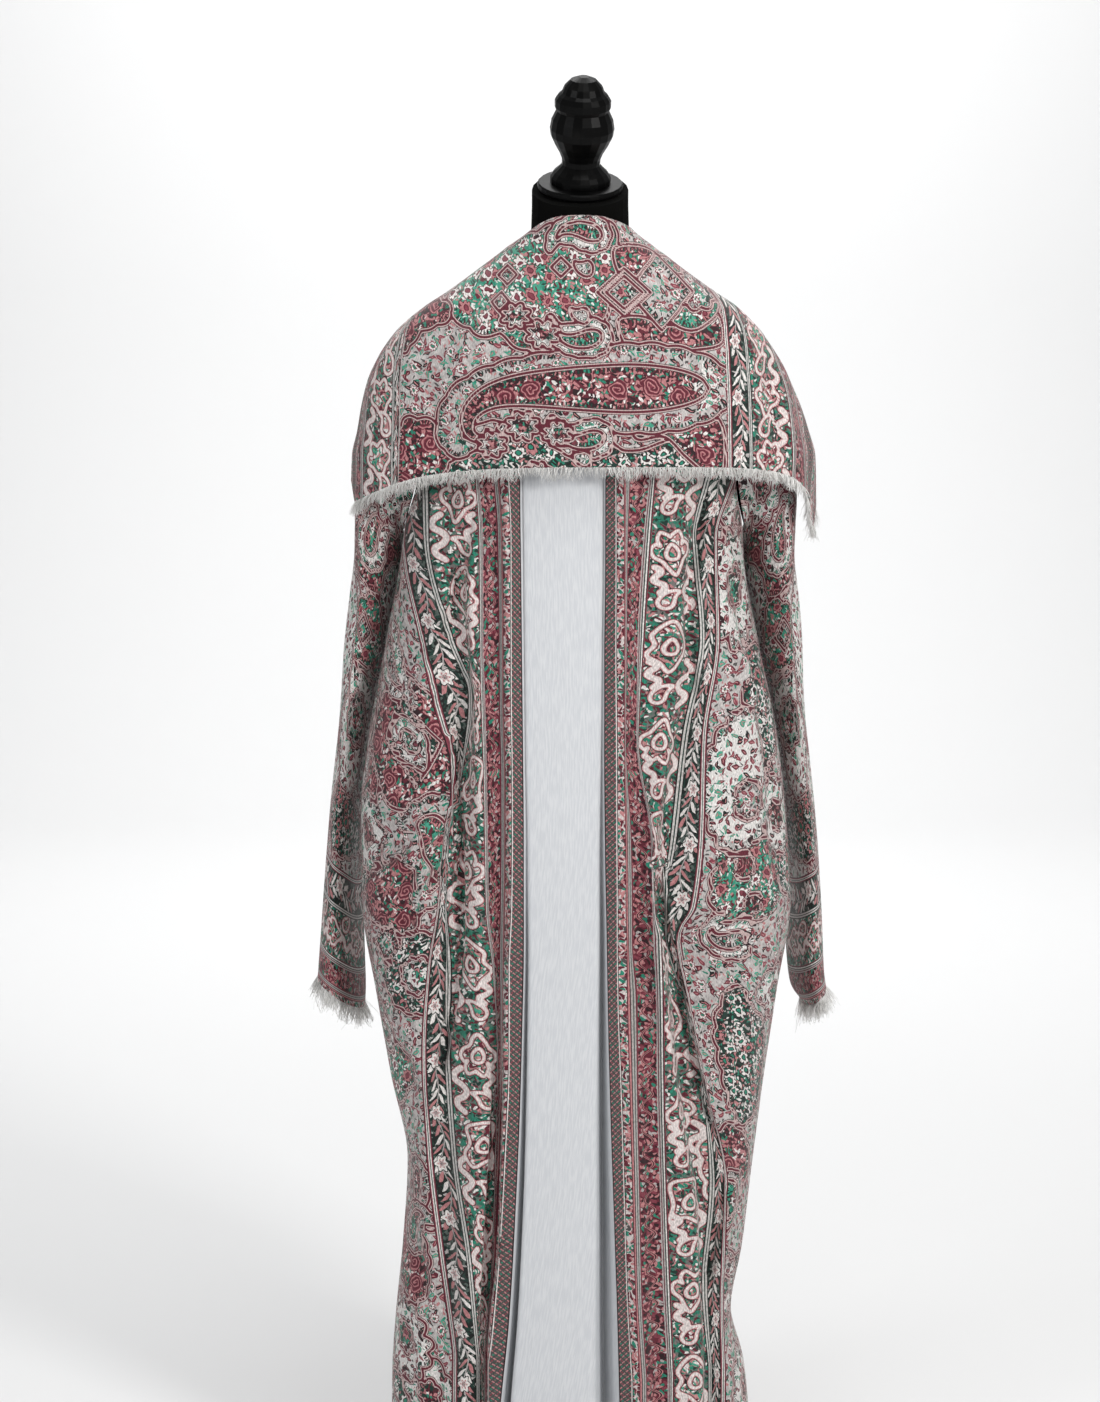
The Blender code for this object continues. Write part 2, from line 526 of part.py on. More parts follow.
def build_body():
    """Back panels, inset and front panels, each a wall of its own."""
    heights = row_heights(NECK_SEAM_HEIGHT, HEM_HEIGHT, 24)
    for side, folds in (("left", LEFT_FOLDS), ("right", RIGHT_FOLDS)):
        rows = [panel_row(h, folds, FOLD_HEIGHTS, side, 19) for h in heights]
        wall("back_" + side, np.array(rows), SHAWL_CLOTH, "shawl_cloth",
             outward=1 if side == "right" else -1)
    wall("back_inset", np.array([inset_row(h, 17) for h in heights]), CREPE_CLOTH, "crepe")
    front_heights = row_heights(NECK_SEAM_HEIGHT, HEM_HEIGHT, 17)
    for side in ("left", "right"):
        rows = [panel_row(h, FRONT_FOLDS, FRONT_FOLD_HEIGHTS, side, 11, front=True)
                for h in front_heights]
        wall("front_" + side, np.array(rows), SHAWL_CLOTH, "shawl_cloth",
             outward=-1 if side == "right" else 1)


def build_sleeves():
    for side, table in (("left", SLEEVE_LEFT), ("right", SLEEVE_RIGHT)):
        grid = sleeve_grid(table, side)
        outward = -1 if side == "right" else 1
        wall("sleeve_" + side, grid, SHAWL_CLOTH, "shawl_cloth", closed=True, outward=outward)
        build_cuff_fringe(side, grid, outward)


def build_cuff_fringe(side, grid, outward):
    """The cuff's frayed edge hangs straight down from the last ring."""
    count = 2 * CUFF_FRINGE_STRANDS
    ring = grid[-1]
    position = np.linspace(0, SLEEVE_ROUND, count, endpoint=False)
    k = position.astype(int)
    t = (position - k)[:, None]
    edge = ring[k % SLEEVE_ROUND] * (1 - t) + ring[(k + 1) % SLEEVE_ROUND] * t
    above = grid[-2][k % SLEEVE_ROUND] * (1 - t) + grid[-2][(k + 1) % SLEEVE_ROUND] * t
    down = edge - above
    down /= np.linalg.norm(down, axis=1, keepdims=True)
    hang = np.tile(np.array([0.0, 0.0, -1.0]), (count, 1))
    fringe("fringe_cuff_" + side, edge + down * FRINGE_GAP * MM, down, hang, SHAWL_CLOTH,
           CUFF_FRINGE_LENGTH, True, outward)


def build_collar():
    grid = collar_grid(COLLAR_COLUMNS, COLLAR_FALL_ROWS)
    wall("collar", grid, SHAWL_CLOTH, "shawl_cloth")
    columns = COLLAR_FRINGE_TO - COLLAR_FRINGE_FROM
    wanted = np.linspace(COLLAR_FRINGE_FROM, COLLAR_FRINGE_TO, 2 * STRANDS_PER_COLUMN * columns)
    position = np.arange(COLLAR_COLUMNS)
    edge, above = (np.stack([np.interp(wanted, position, row[:, i]) for i in range(3)], axis=1)
                   for row in (grid[-1], grid[-2]))
    down = edge - above
    down /= np.linalg.norm(down, axis=1, keepdims=True)
    fringe("fringe_collar", edge + down * FRINGE_GAP * MM, down, down, SHAWL_CLOTH,
           COLLAR_FRINGE_LENGTH)


def build_form():
    """The dress form: a smooth closed torso and neck, a leaning cap and finial, pole and base."""
    turn = np.linspace(0, 2 * math.pi, FORM_ROUND, endpoint=False)
    points = []
    for i, height in enumerate(FORM["height"]):
        x, y, _, _ = plan_point(FORM, FORM_POWER, np.full(FORM_ROUND, float(height)), turn, "side", "side")
        # Above the collar the neck's rings lean until the top lies in the cap's plane.
        share = max(0.0, (height - NECK_LEAN_FROM) / (NECK_TOP_HEIGHT - NECK_LEAN_FROM))
        z = height + y * math.tan(NECK_LEAN) * share
        points += [tuple(p) for p in np.stack([x, y, np.zeros(FORM_ROUND) + z], axis=1) * MM]
    rows = len(FORM["height"])
    faces = []
    for r in range(rows - 1):
        for c in range(FORM_ROUND):
            a, b = r * FORM_ROUND + c, r * FORM_ROUND + (c + 1) % FORM_ROUND
            faces.append((a, b, b + FORM_ROUND, a + FORM_ROUND))
    faces.append(tuple(reversed(range(FORM_ROUND))))
    faces.append(tuple(range((rows - 1) * FORM_ROUND, rows * FORM_ROUND)))
    add_mesh("form_torso", points, faces, "form_jersey")

    seat = Seat(NECK_TOP_HEIGHT)
    turned("form_cap", (CAP_RADIUS - 1.5, CAP_RADIUS, CAP_RADIUS, CAP_RADIUS - 1.5),
           (CAP_LIFT, CAP_LIFT + 1.5, CAP_THICK - 1.5, CAP_THICK), "black_wood", 28, seat.place(0.0))
    turned("form_finial", FINIAL["radius"], FINIAL["height"], "black_wood", FINIAL_ROUND,
           seat.place(CAP_THICK + 0.3))
    bottom = FORM["height"][0]
    turned("stand_pole", (POLE_RADIUS, POLE_RADIUS), (BASE_PROFILE["height"][-1] + 0.3, bottom - 0.3),
           "black_wood", 20)
    turned("stand_base", BASE_PROFILE["radius"], BASE_PROFILE["height"], "black_wood", BASE_ROUND)


class Seat:
    """The leaning plane on top of the neck, on which the cap and the finial stand."""

    def __init__(self, height):
        self.height = height

    def place(self, along):
        """Location and rotation of a piece that starts this far along the leaning axis."""
        lift = along * MM
        location = (math.sin(CAP_SIDE_LEAN) * lift, -math.sin(NECK_LEAN) * lift,
                    self.height * MM + math.cos(NECK_LEAN) * lift)
        return location, (NECK_LEAN, CAP_SIDE_LEAN, 0.0)


def main():
    for old in list(bpy.data.objects):
        bpy.data.objects.remove(old)
    build_form()
    build_body()
    build_sleeves()
    build_collar()


main()
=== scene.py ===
"""The looks of the paisley abaya on its dress form: patterned cloth, fringes and turned wood.

All tables are in millimetres. The garment's back faces -Y and the wearer's left is -X.
"""

import math
from functools import partialmethod

import bpy
import numpy as np
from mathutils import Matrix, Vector


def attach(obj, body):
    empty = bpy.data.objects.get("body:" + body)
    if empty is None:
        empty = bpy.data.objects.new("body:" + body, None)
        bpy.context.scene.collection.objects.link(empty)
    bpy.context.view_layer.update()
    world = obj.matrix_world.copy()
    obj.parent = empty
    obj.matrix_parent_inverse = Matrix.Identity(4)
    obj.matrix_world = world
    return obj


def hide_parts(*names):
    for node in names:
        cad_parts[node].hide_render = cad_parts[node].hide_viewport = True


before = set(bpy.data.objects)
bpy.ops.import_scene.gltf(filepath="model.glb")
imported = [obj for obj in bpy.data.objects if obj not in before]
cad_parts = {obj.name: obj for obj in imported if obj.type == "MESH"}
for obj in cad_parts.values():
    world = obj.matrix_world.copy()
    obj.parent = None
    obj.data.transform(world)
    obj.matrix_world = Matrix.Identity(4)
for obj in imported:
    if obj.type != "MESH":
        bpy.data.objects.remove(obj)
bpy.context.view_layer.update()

MM = 0.001
TURN = 2 * math.pi

# Cloth, seams and the body's plan sections, as in the part's source
CLOTH = 1.1              # wall of the shown shawl cloth
CREPE = 0.9              # wall of the shown crepe
SEAM_GAP = 1.2
LAP = 5.0
LAP_DEPTH = 3.6
HEM_HEIGHT = 40.0
BODY_POWER = 2.3
ARMHOLE_CENTRE = 1245.0
ARMHOLE_HALF_HEIGHT = 112.0
ARMHOLE_HALF_DEPTH = 62.0
BODY = {
    "height": (1436, 1424, 1408, 1392, 1374, 1354, 1320, 1280, 1240, 1200, 1150, 1100,
               1000, 900, 800, 700, 600, 500, 400, 300, 220, 150, 40),
    "left":   (67, 88, 120, 152, 177, 189, 195, 195, 195, 195, 198, 204,
               222, 241, 252, 251, 236, 219, 200, 206, 214, 219, 220),
    "right":  (67, 88, 120, 152, 177, 188, 193, 193, 191, 188, 185, 187,
               205, 226, 238, 244, 229, 215, 202, 190, 178, 194, 204),
    "back":   (64, 68, 76, 85, 93, 101, 109, 115, 119, 121, 122, 123,
               126, 130, 134, 137, 138, 138, 138, 139, 140, 142, 144),
    "front":  (68, 71, 77, 84, 91, 98, 108, 118, 128, 136, 138, 137,
               133, 132, 132, 133, 134, 134, 134, 134, 134, 135, 137),
}
FOLD_HEIGHTS = (1450, 1300, 1190, 1090, 990, 890, 780, 680, 575, 470, 355, 240, 125, 40)
LEFT_FOLDS = (
    {"x": (42, 62, 67, 66, 65, 64, 63, 63, 65, 68, 73, 80, 91, 96),
     "out": (0, 0, 0, 0, 0, 0, 1, 1, 1, 2, 2, 2, 2, 2)},
    {"x": (45, 74, 81, 80, 79, 78, 76, 78, 82, 85, 89, 97, 101, 105),
     "out": (0, 1, 5, 6, 6, 6, 7, 7, 7, 8, 9, 9, 9, 9)},
    {"x": (47, 84, 93, 94, 92, 90, 89, 90, 93, 95, 100, 107, 112, 117),
     "out": (0, 0, -5, -6, -6, -6, -6, -8, -11, -13, -14, -14, -13, -12)},
    {"x": (51, 101, 121, 120, 118, 112, 108, 112, 114, 117, 120, 127, 132, 139),
     "out": (0, 1, 3, 5, 6, 5, 4, 4, 5, 6, 6, 6, 6, 6)},
    {"x": (55, 119, 146, 140, 130, 130, 139, 148, 154, 155, 152, 152, 157, 165),
     "out": (0, 0, -3, -6, -9, -11, -13, -11, -8, -5, -4, -6, -8, -9)},
    {"x": (60, 150, 168, 162, 165, 169, 178, 180, 180, 176, 170, 176, 183, 190),
     "out": (0, 1, 4, 6, 9, 12, 14, 14, 11, 8, 6, 6, 6, 7)},
)
RIGHT_FOLDS = (
    {"x": (2, 18, 27, 27, 26, 26, 27, 29, 31, 34, 38, 42, 45, 48),
     "out": (0, 0, 0, 0, 0, 0, 1, 1, 1, 2, 2, 2, 2, 2)},
    {"x": (9, 32, 45, 44, 43, 43, 45, 46, 50, 54, 59, 63, 66, 70),
     "out": (0, 1, 4, 5, 5, 5, 5, 6, 6, 7, 7, 8, 8, 8)},
    {"x": (19, 56, 75, 72, 68, 64, 64, 66, 72, 76, 84, 89, 93, 98),
     "out": (0, 0, -3, -4, -5, -6, -7, -7, -6, -5, -4, -4, -5, -6)},
    {"x": (32, 84, 108, 102, 96, 92, 80, 84, 96, 108, 122, 130, 134, 139),
     "out": (0, 1, 4, 6, 6, 5, 6, 8, 9, 9, 8, 8, 7, 7)},
    {"x": (42, 104, 132, 130, 124, 112, 92, 98, 112, 126, 141, 146, 150, 156),
     "out": (0, 0, -3, -6, -8, -11, -13, -14, -14, -13, -11, -9, -8, -8)},
    {"x": (54, 130, 150, 156, 158, 152, 146, 150, 156, 160, 164, 158, 166, 174),
     "out": (0, 0, 3, 5, 8, 11, 13, 13, 11, 8, 6, 5, 6, 7)},
)
FRONT_FOLD_HEIGHTS = (1450, 1300, 1190, 1000, 800, 600, 400, 200, 40)
FRONT_FOLDS = (
    {"x": (26, 34, 38, 42, 46, 50, 53, 56, 58), "out": (0, 0, 0, 0, 1, 1, 2, 2, 2)},
    {"x": (34, 54, 64, 70, 74, 78, 82, 86, 90), "out": (0, 1, 2, 5, 6, 8, 9, 10, 10)},
    {"x": (42, 76, 92, 98, 104, 108, 112, 116, 120), "out": (0, 0, -1, -4, -6, -8, -9, -10, -10)},
    {"x": (50, 100, 124, 130, 138, 140, 142, 144, 148), "out": (0, 0, 0, 2, 6, 9, 8, 8, 8)},
    {"x": (56, 126, 150, 158, 166, 166, 162, 162, 166), "out": (0, 0, -1, -4, -6, -6, -6, -7, -7)},
)
PLEAT = {
    "height":     (1450, 1190, 990, 890, 780, 680, 575, 470, 355, 240, 125, 40),
    "left_face":  (2, 3, 3, 3, 4, 5, 6, 7, 8, 9, 11, 13),
    "left_deep":  (0, 1, 1, 1, 3, 8, 14, 18, 22, 26, 30, 32),
    "right_face": (2, 3, 3, 4, 7, 9, 12, 16, 20, 25, 28, 31),
    "right_deep": (0, 1, 1, 3, 10, 18, 26, 32, 38, 42, 45, 46),
}
COLLAR = {
    "height": (1464, 1449, 1438, 1424, 1410, 1396, 1382, 1368, 1354, 1340, 1326, 1298, 1270,
               1241, 1213, 1185, 1150, 1110),
    "left":   (67, 81, 95, 114, 133, 153, 175, 193, 208, 219, 228, 241, 248, 253, 259, 260, 262, 262),
    "right":  (67, 82, 97, 115, 134, 154, 175, 190, 203, 213, 222, 236, 249, 259, 267, 268, 268, 268),
    "back":   (68, 72, 77, 84, 91, 97, 103, 108, 113, 117, 121, 127, 131, 134, 137, 139, 141, 143),
    "front":  (71, 76, 80, 86, 92, 98, 104, 109, 114, 119, 124, 134, 143, 151, 156, 157, 157, 157),
}
COLLAR_POWER = 2.35
COLLAR_ROUND = {
    "degrees": (-161, -140, -118, -102, -90, -80, -70, -61, -50, -36, -18, 0,
                18, 34, 48, 58, 68, 76, 84, 92, 104, 120, 140, 161),
    "roll":    (1450, 1451, 1452, 1454, 1456, 1458, 1461, 1464, 1468, 1474, 1479, 1480,
                1479, 1475, 1471, 1468, 1464, 1461, 1458, 1456, 1454, 1452, 1451, 1450),
    "edge":    (1188, 1184, 1180, 1180, 1184, 1160, 1163, 1170, 1182, 1194, 1201, 1203,
                1203, 1202, 1198, 1190, 1172, 1143, 1132, 1160, 1178, 1182, 1186, 1188),
    "middle":  (0, 1, 3, 2, 0, -2, 2, 1, 0, -1, 0, 1, 0, 0, 1, 2, 0, 1, 2, 0, 2, 2, 1, 0),
    "rim":     (0, 4, 8, 5, 1, -4, 4, 6, 4, 2, 1, 2, 1, 1, 3, 5, 2, -3, -2, 3, 6, 6, 3, 0),
}
STAND_RADIUS = 62.5
STAND_FOOT = 1437.5
SLEEVE_HANG = {
    "depth":   (62, 62, 61, 60, 58, 56, 54, 53, 52, 52, 52, 53, 54, 54, 54, 54),
    "forward": (0, 1, 3, 6, 10, 15, 20, 26, 34, 40, 44, 46, 46, 46, 46, 46),
    "swing":   (0, 3, 7, 12, 18, 24, 29, 32, 34, 34, 33, 31, 28, 24, 20, 18),
}
SLEEVE_LEFT = {
    **SLEEVE_HANG,
    "top_x":   (196, 206, 217, 229, 239, 245, 251, 257, 264, 272, 280, 288, 295, 301, 305, 306),
    "top_z":   (1356, 1347, 1329, 1304, 1270, 1230, 1180, 1110, 1035, 955, 880, 810, 740, 670, 622, 604),
    "low_x":   (197, 199, 200, 201, 202, 202, 204, 210, 222, 236, 247, 254, 256, 255, 253, 253),
    "low_z":   (1134, 1132, 1129, 1125, 1118, 1106, 1084, 1040, 980, 905, 838, 770, 700, 640, 582, 562),
}
SLEEVE_RIGHT = {
    **SLEEVE_HANG,
    "top_x":   (194, 202, 212, 222, 234, 240, 243, 245, 251, 256, 264, 272, 279, 284, 287, 289),
    "top_z":   (1356, 1347, 1329, 1304, 1270, 1230, 1180, 1110, 1035, 955, 880, 810, 740, 670, 612, 592),
    "low_x":   (191, 191, 189, 187, 186, 186, 187, 194, 206, 220, 232, 241, 248, 247, 251, 264),
    "low_z":   (1134, 1132, 1129, 1125, 1118, 1106, 1084, 1040, 980, 905, 838, 770, 700, 640, 590, 568),
}
SLEEVE_STEP = {"left": 1.8, "right": 2.8}
LEAST_TURN = 0.06        # radians between the last fold lines, where a panel is too narrow for them
STAND_BELOW_ROLL, FALL_BELOW_ROLL = 6.0, 9.0     # where the collar's roll begins and ends
SLEEVE_JOIN = 0.267      # share of the sleeve over which the armhole's shape turns into its own

# Where the shawl's woven bands lie: distance from the selvedge in the cloth, and on each back panel
# the distance from the middle at which each band ends, for each height. Folds swallow the rest.
BAND_ENDS = (0, 14, 23, 32, 54, 62, 112, 118, 147, 156)
LEFT_BANDS = {
    "height": (1194, 1123, 1013, 946, 857, 790, 714, 639, 544, 426, 310, 194),
    "ends": (
        (68, 65, 65, 65, 64, 64, 65, 66, 69, 72, 79, 88),
        (81, 78, 78, 78, 77, 77, 78, 81, 81, 86, 93, 104),
        (91, 87, 86, 86, 84, 84, 85, 86.5, 88, 92.5, 98, 107),
        (97, 93, 91, 91, 89.5, 89.5, 90, 91, 90, 93.5, 98.5, 107.5),
        (113, 108, 108, 106, 104, 103, 102, 95.5, 92.5, 94.5, 99, 108),
        (117, 113, 112, 111, 108, 107, 106, 98, 93.5, 96, 99.5, 109),
        (168, 168, 141, 119, 133, 147, 150, 143.5, 145, 139, 122, 113),
        (178, 176, 149, 126, 134.5, 149, 152, 152, 153, 146.5, 129, 118),
        (194, 197, 174, 156, 137, 151, 157, 168, 173, 167, 154, 139),
        (201, 203, 181, 166, 145, 153, 160, 172, 179, 175, 162, 146)),
}
RIGHT_BANDS = {
    "height": (1194, 1123, 1013, 902, 790, 714, 677, 609, 503, 388, 272, 174),
    "ends": (
        (25, 25, 27, 27, 28, 28, 28.5, 32, 33, 37, 43, 46.5),
        (39.5, 40, 40, 41, 41.5, 42, 42, 43, 47, 50.5, 54, 60),
        (48, 48.5, 49, 49, 50.5, 51, 52, 53, 56, 59.5, 63, 68),
        (55, 52, 51, 50, 57, 58.5, 58.5, 64, 65, 67.5, 70, 76),
        (76, 69, 63, 62, 78, 80, 81, 84.5, 86, 90, 94, 100),
        (83, 78, 71, 64.5, 80.5, 83, 90, 93.5, 95, 98, 103, 107),
        (138, 124, 131.5, 112, 99, 91, 95, 116, 138, 146, 139, 147),
        (146, 131, 139, 121, 108, 97.5, 98, 117, 140, 154, 147, 152),
        (170, 148.5, 150, 134, 130.5, 122, 107, 120, 142, 164, 160, 161),
        (178, 153, 156, 141, 138, 130, 111, 122.5, 143, 167.5, 166, 168)),
}
# On a sleeve: distance from the cuff's edge, and how far from the selvedge the band there lies
SLEEVE_BANDS = ((0, 15, 40, 48, 103, 110, 145, 152), (14, 32, 54, 62, 112, 118, 147, 156))
# On the collar: distance round it from the middle of the back at which each band ends, selvedge last
COLLAR_BANDS = {
    "right": (162, 170, 189, 194, 245, 252, 274, 283, 292, 306),
    "left": (206, 210, 215, 219, 262, 269, 290, 298, 306, 320),
}
NO_BAND = 200.0                  # stands for the field, beyond every band
COLLAR_FRINGE = (-80.0, 90.0)    # degrees round the collar over which its edge is frayed
CROWN_HEIGHT = 1480.0            # the pattern's lengths on body and collar are measured down from here
PATTERN_END = 1460.0             # how far down the panels' motifs go

# Creases and ridges: a path of (height, x), how far it stands out, its width, the lip beside it,
# the lip's side, and the length over which each end fades
CREASE_DEPTH = 1.9
LEFT_CREASES = (
    (((835, -132), (716, -238)), 5.0, 9.0, 0, 0, 45.0),
    (((790, -128), (655, -226)), -4.0, 8.0, 0, 0, 45.0),
    (((946, -141), (690, -137), (495, -163)), -6.0, 5.0, 4.0, -1, 45.0),
    (((1180, -118), (1010, -150), (905, -178)), -3.5, 8.0, 3.0, -1, 45.0),
    (((600, -205), (440, -150)), 3.5, 10.0, 0, 0, 45.0),
    (((520, -95), (220, -112)), -3.0, 4.0, 2.5, -1, 45.0),
    (((330, -188), (120, -160)), -4.0, 9.0, 0, 0, 45.0),
)
RIGHT_CREASES = (
    (((800, 74), (698, 94), (636, 108), (513, 134), (441, 152)), -5.0, 4.5, 4.0, 1, 45.0),
    (((1100, 170), (880, 214), (722, 228)), -4.5, 8.0, 0, 0, 45.0),
    (((1013, 168), (925, 206)), 4.5, 8.0, 0, 0, 30.0),
    (((1188, 140), (1040, 122), (930, 126)), -3.0, 6.0, 2.5, 1, 45.0),
    (((660, 205), (560, 172)), 3.5, 9.0, 0, 0, 45.0),
    (((420, 170), (250, 140)), -4.0, 7.0, 3.0, 1, 45.0),
)
COLLAR_CREASES = (
    (((1446, -40), (1390, -108), (1310, -190)), -2.6, 9.0, 0, 0, 45.0),
    (((1420, -20), (1370, -90), (1290, -150)), 2.4, 13.0, 0, 0, 45.0),
    (((1448, 40), (1400, 100), (1330, 168)), -2.4, 9.0, 0, 0, 45.0),
    (((1400, 20), (1350, 60), (1280, 130)), 1.8, 14.0, 0, 0, 45.0),
    (((1330, -180), (1200, -150)), -2.0, 12.0, 0, 0, 45.0),
    (((1330, 206), (1190, 226)), -3.0, 9.0, 3.0, 1, 45.0),
)
BACK_DRAPE = {"left": 2.2, "right": 1.6}         # depth of the soft upright folds
FRONT_DRAPE = 1.5
SLEEVE_FOLDS = 3.0

# Points of each grid across and down; a body panel's rows are counted over and below the shoulders
BACK_COLUMNS, BACK_ROWS = 132, (40, 530)
INSET_COLUMNS, INSET_ROWS = 81, (20, 300)
FRONT_COLUMNS, FRONT_ROWS = 90, (30, 390)
SLEEVE_POINTS, SLEEVE_RINGS = 126, 310
COLLAR_COLUMNS, COLLAR_ROWS = 440, 155


def smooth(at, heights, values):
    """Cubic through a table's rows, with limited slopes so that it doesn't overshoot."""
    x = np.array(heights, float)
    y = np.array(values, float)
    if x[0] > x[-1]:
        x, y = x[::-1], y[::-1]
    step = np.diff(x)
    slope = np.diff(y) / step
    tangent = np.empty_like(y)
    tangent[1:-1] = np.where(slope[1:] * slope[:-1] > 0,
                             2 * slope[1:] * slope[:-1] / (slope[1:] + slope[:-1] + 1e-12), 0.0)
    tangent[0], tangent[-1] = slope[0], slope[-1]
    at = np.clip(np.asarray(at, float), x[0], x[-1])
    k = np.clip(np.searchsorted(x, at) - 1, 0, len(step) - 1)
    t = (at - x[k]) / step[k]
    h = step[k]
    return ((2 * t**3 - 3 * t**2 + 1) * y[k] + (t**3 - 2 * t**2 + t) * h * tangent[k]
            + (3 * t**2 - 2 * t**3) * y[k + 1] + (t**3 - t**2) * h * tangent[k + 1])


def column(table, key, height):
    """One column of a table at the given heights."""
    return smooth(height, table["height"], table[key])


def circle(count):
    """Evenly spaced angles once round."""
    return np.linspace(0, TURN, count, endpoint=False)


def plan_point(table, power, height, angle):
    """Point and outward normal of a plan section, in mm. Angle 0 is the back, 90 degrees +X."""
    side = np.where(np.sin(angle) < 0, column(table, "left", height), column(table, "right", height))
    deep = np.where(np.cos(angle) > 0, column(table, "back", height), column(table, "front", height))
    s, c = np.sin(angle), np.cos(angle)
    x = side * np.sign(s) * np.abs(s) ** (2 / power)
    y = -deep * np.sign(c) * np.abs(c) ** (2 / power)
    nx = np.sign(s) * np.abs(s) ** (2 - 2 / power) / side
    ny = -np.sign(c) * np.abs(c) ** (2 - 2 / power) / deep
    length = np.hypot(nx, ny)
    return x, y, nx / length, ny / length


def turn_at(height, x):
    """How far round the body's section x lies, with the sign of x."""
    x = np.asarray(x, float)
    side = np.where(x < 0, column(BODY, "left", height), column(BODY, "right", height))
    return np.sign(x) * np.arcsin(np.clip(np.abs(x) / side, 0, 1) ** (BODY_POWER / 2))


def side_turn(height, front):
    """Where a panel ends: at the side seam, the shoulder seam or the armhole."""
    share = (height - ARMHOLE_CENTRE) / ARMHOLE_HALF_HEIGHT
    away = max(ARMHOLE_HALF_DEPTH * math.sqrt(max(0.0, 1 - share * share)), SEAM_GAP / 2)
    deep = float(column(BODY, "front" if front else "back", height))
    return math.acos(min(1.0, away / deep) ** (BODY_POWER / 2))


def ease(t):
    """Turns a straight ramp from 0 to 1 into one with level ends."""
    return t * t * (3 - 2 * t)


def fold_at(line, height, heights=FOLD_HEIGHTS):
    """A fold line's distance from the middle, and how far it stands out, at a height."""
    return float(smooth(height, heights, line["x"])), float(smooth(height, heights, line["out"]))


def panel_row(height, folds, fold_heights, side, where, front=False):
    """One row of a panel: where counts fold lines from the free edge, and the side comes last."""
    sign = -1 if side == "left" else 1
    end = side_turn(height, front)
    turns, outs = [], []
    for line in folds:
        x, out = fold_at(line, height, fold_heights)
        turns.append(abs(float(turn_at(height, sign * x))))
        outs.append(out)
    for i in range(1, len(turns)):
        turns[i] = min(turns[i], end - LEAST_TURN * (len(turns) - i))
    turns = np.array(turns + [end])
    outs = np.array(outs + [0.0])
    k = np.minimum(where.astype(int), len(turns) - 2)
    t = where - k
    angle = turns[k] * (1 - t) + turns[k + 1] * t
    angle = sign * (math.pi - angle if front else angle)
    out = outs[k] * (1 - ease(t)) + outs[k + 1] * ease(t)
    level = np.full(len(where), height)
    x, y, nx, ny = plan_point(BODY, BODY_POWER, level, angle)
    return np.stack([x + nx * out, y + ny * out, level], axis=1)


def follow_panel(height, folds, away):
    """How far a panel stands out a short way from its edge, between its first two fold lines."""
    (first, first_out), (second, second_out) = (fold_at(line, height) for line in folds[:2])
    return first_out + (second_out - first_out) * ease(min(1.0, away / (second - first)))


def inset_row(height, columns):
    """One row of the crepe inset, under both panels' edges and round its box pleat."""
    left, left_out = fold_at(LEFT_FOLDS[0], height)
    right, right_out = fold_at(RIGHT_FOLDS[0], height)
    left, left_out, right_out = -left, left_out - LAP_DEPTH, right_out - LAP_DEPTH
    face_left, deep_left, face_right, deep_right = (
        float(column(PLEAT, k, height)) for k in ("left_face", "left_deep", "right_face", "right_deep"))
    lap = min(LAP, 0.2 * (right - left))
    lines = (
        (left - lap, follow_panel(height, LEFT_FOLDS, lap) - LAP_DEPTH),
        (left, left_out),
        (left + 0.5 * face_left, left_out - deep_left),
        (left + face_left, left_out),
        (0.5 * (left + face_left + right - face_right), 0.5 * (left_out + right_out) + 0.6),
        (right - face_right, right_out),
        (right - 0.5 * face_right, right_out - deep_right),
        (right, right_out),
        (right + lap, follow_panel(height, RIGHT_FOLDS, lap) - LAP_DEPTH),
    )
    xs = np.array([x for x, _ in lines])
    outs = np.array([out for _, out in lines])
    where = np.linspace(0, len(lines) - 1, columns)
    k = np.minimum(where.astype(int), len(lines) - 2)
    t = where - k
    x = xs[k] * (1 - t) + xs[k + 1] * t
    out = outs[k] * (1 - t) + outs[k + 1] * t
    level = np.full(columns, height)
    px, py, nx, ny = plan_point(BODY, BODY_POWER, level, turn_at(level, x))
    return np.stack([px + nx * out, py + ny * out, level], axis=1)


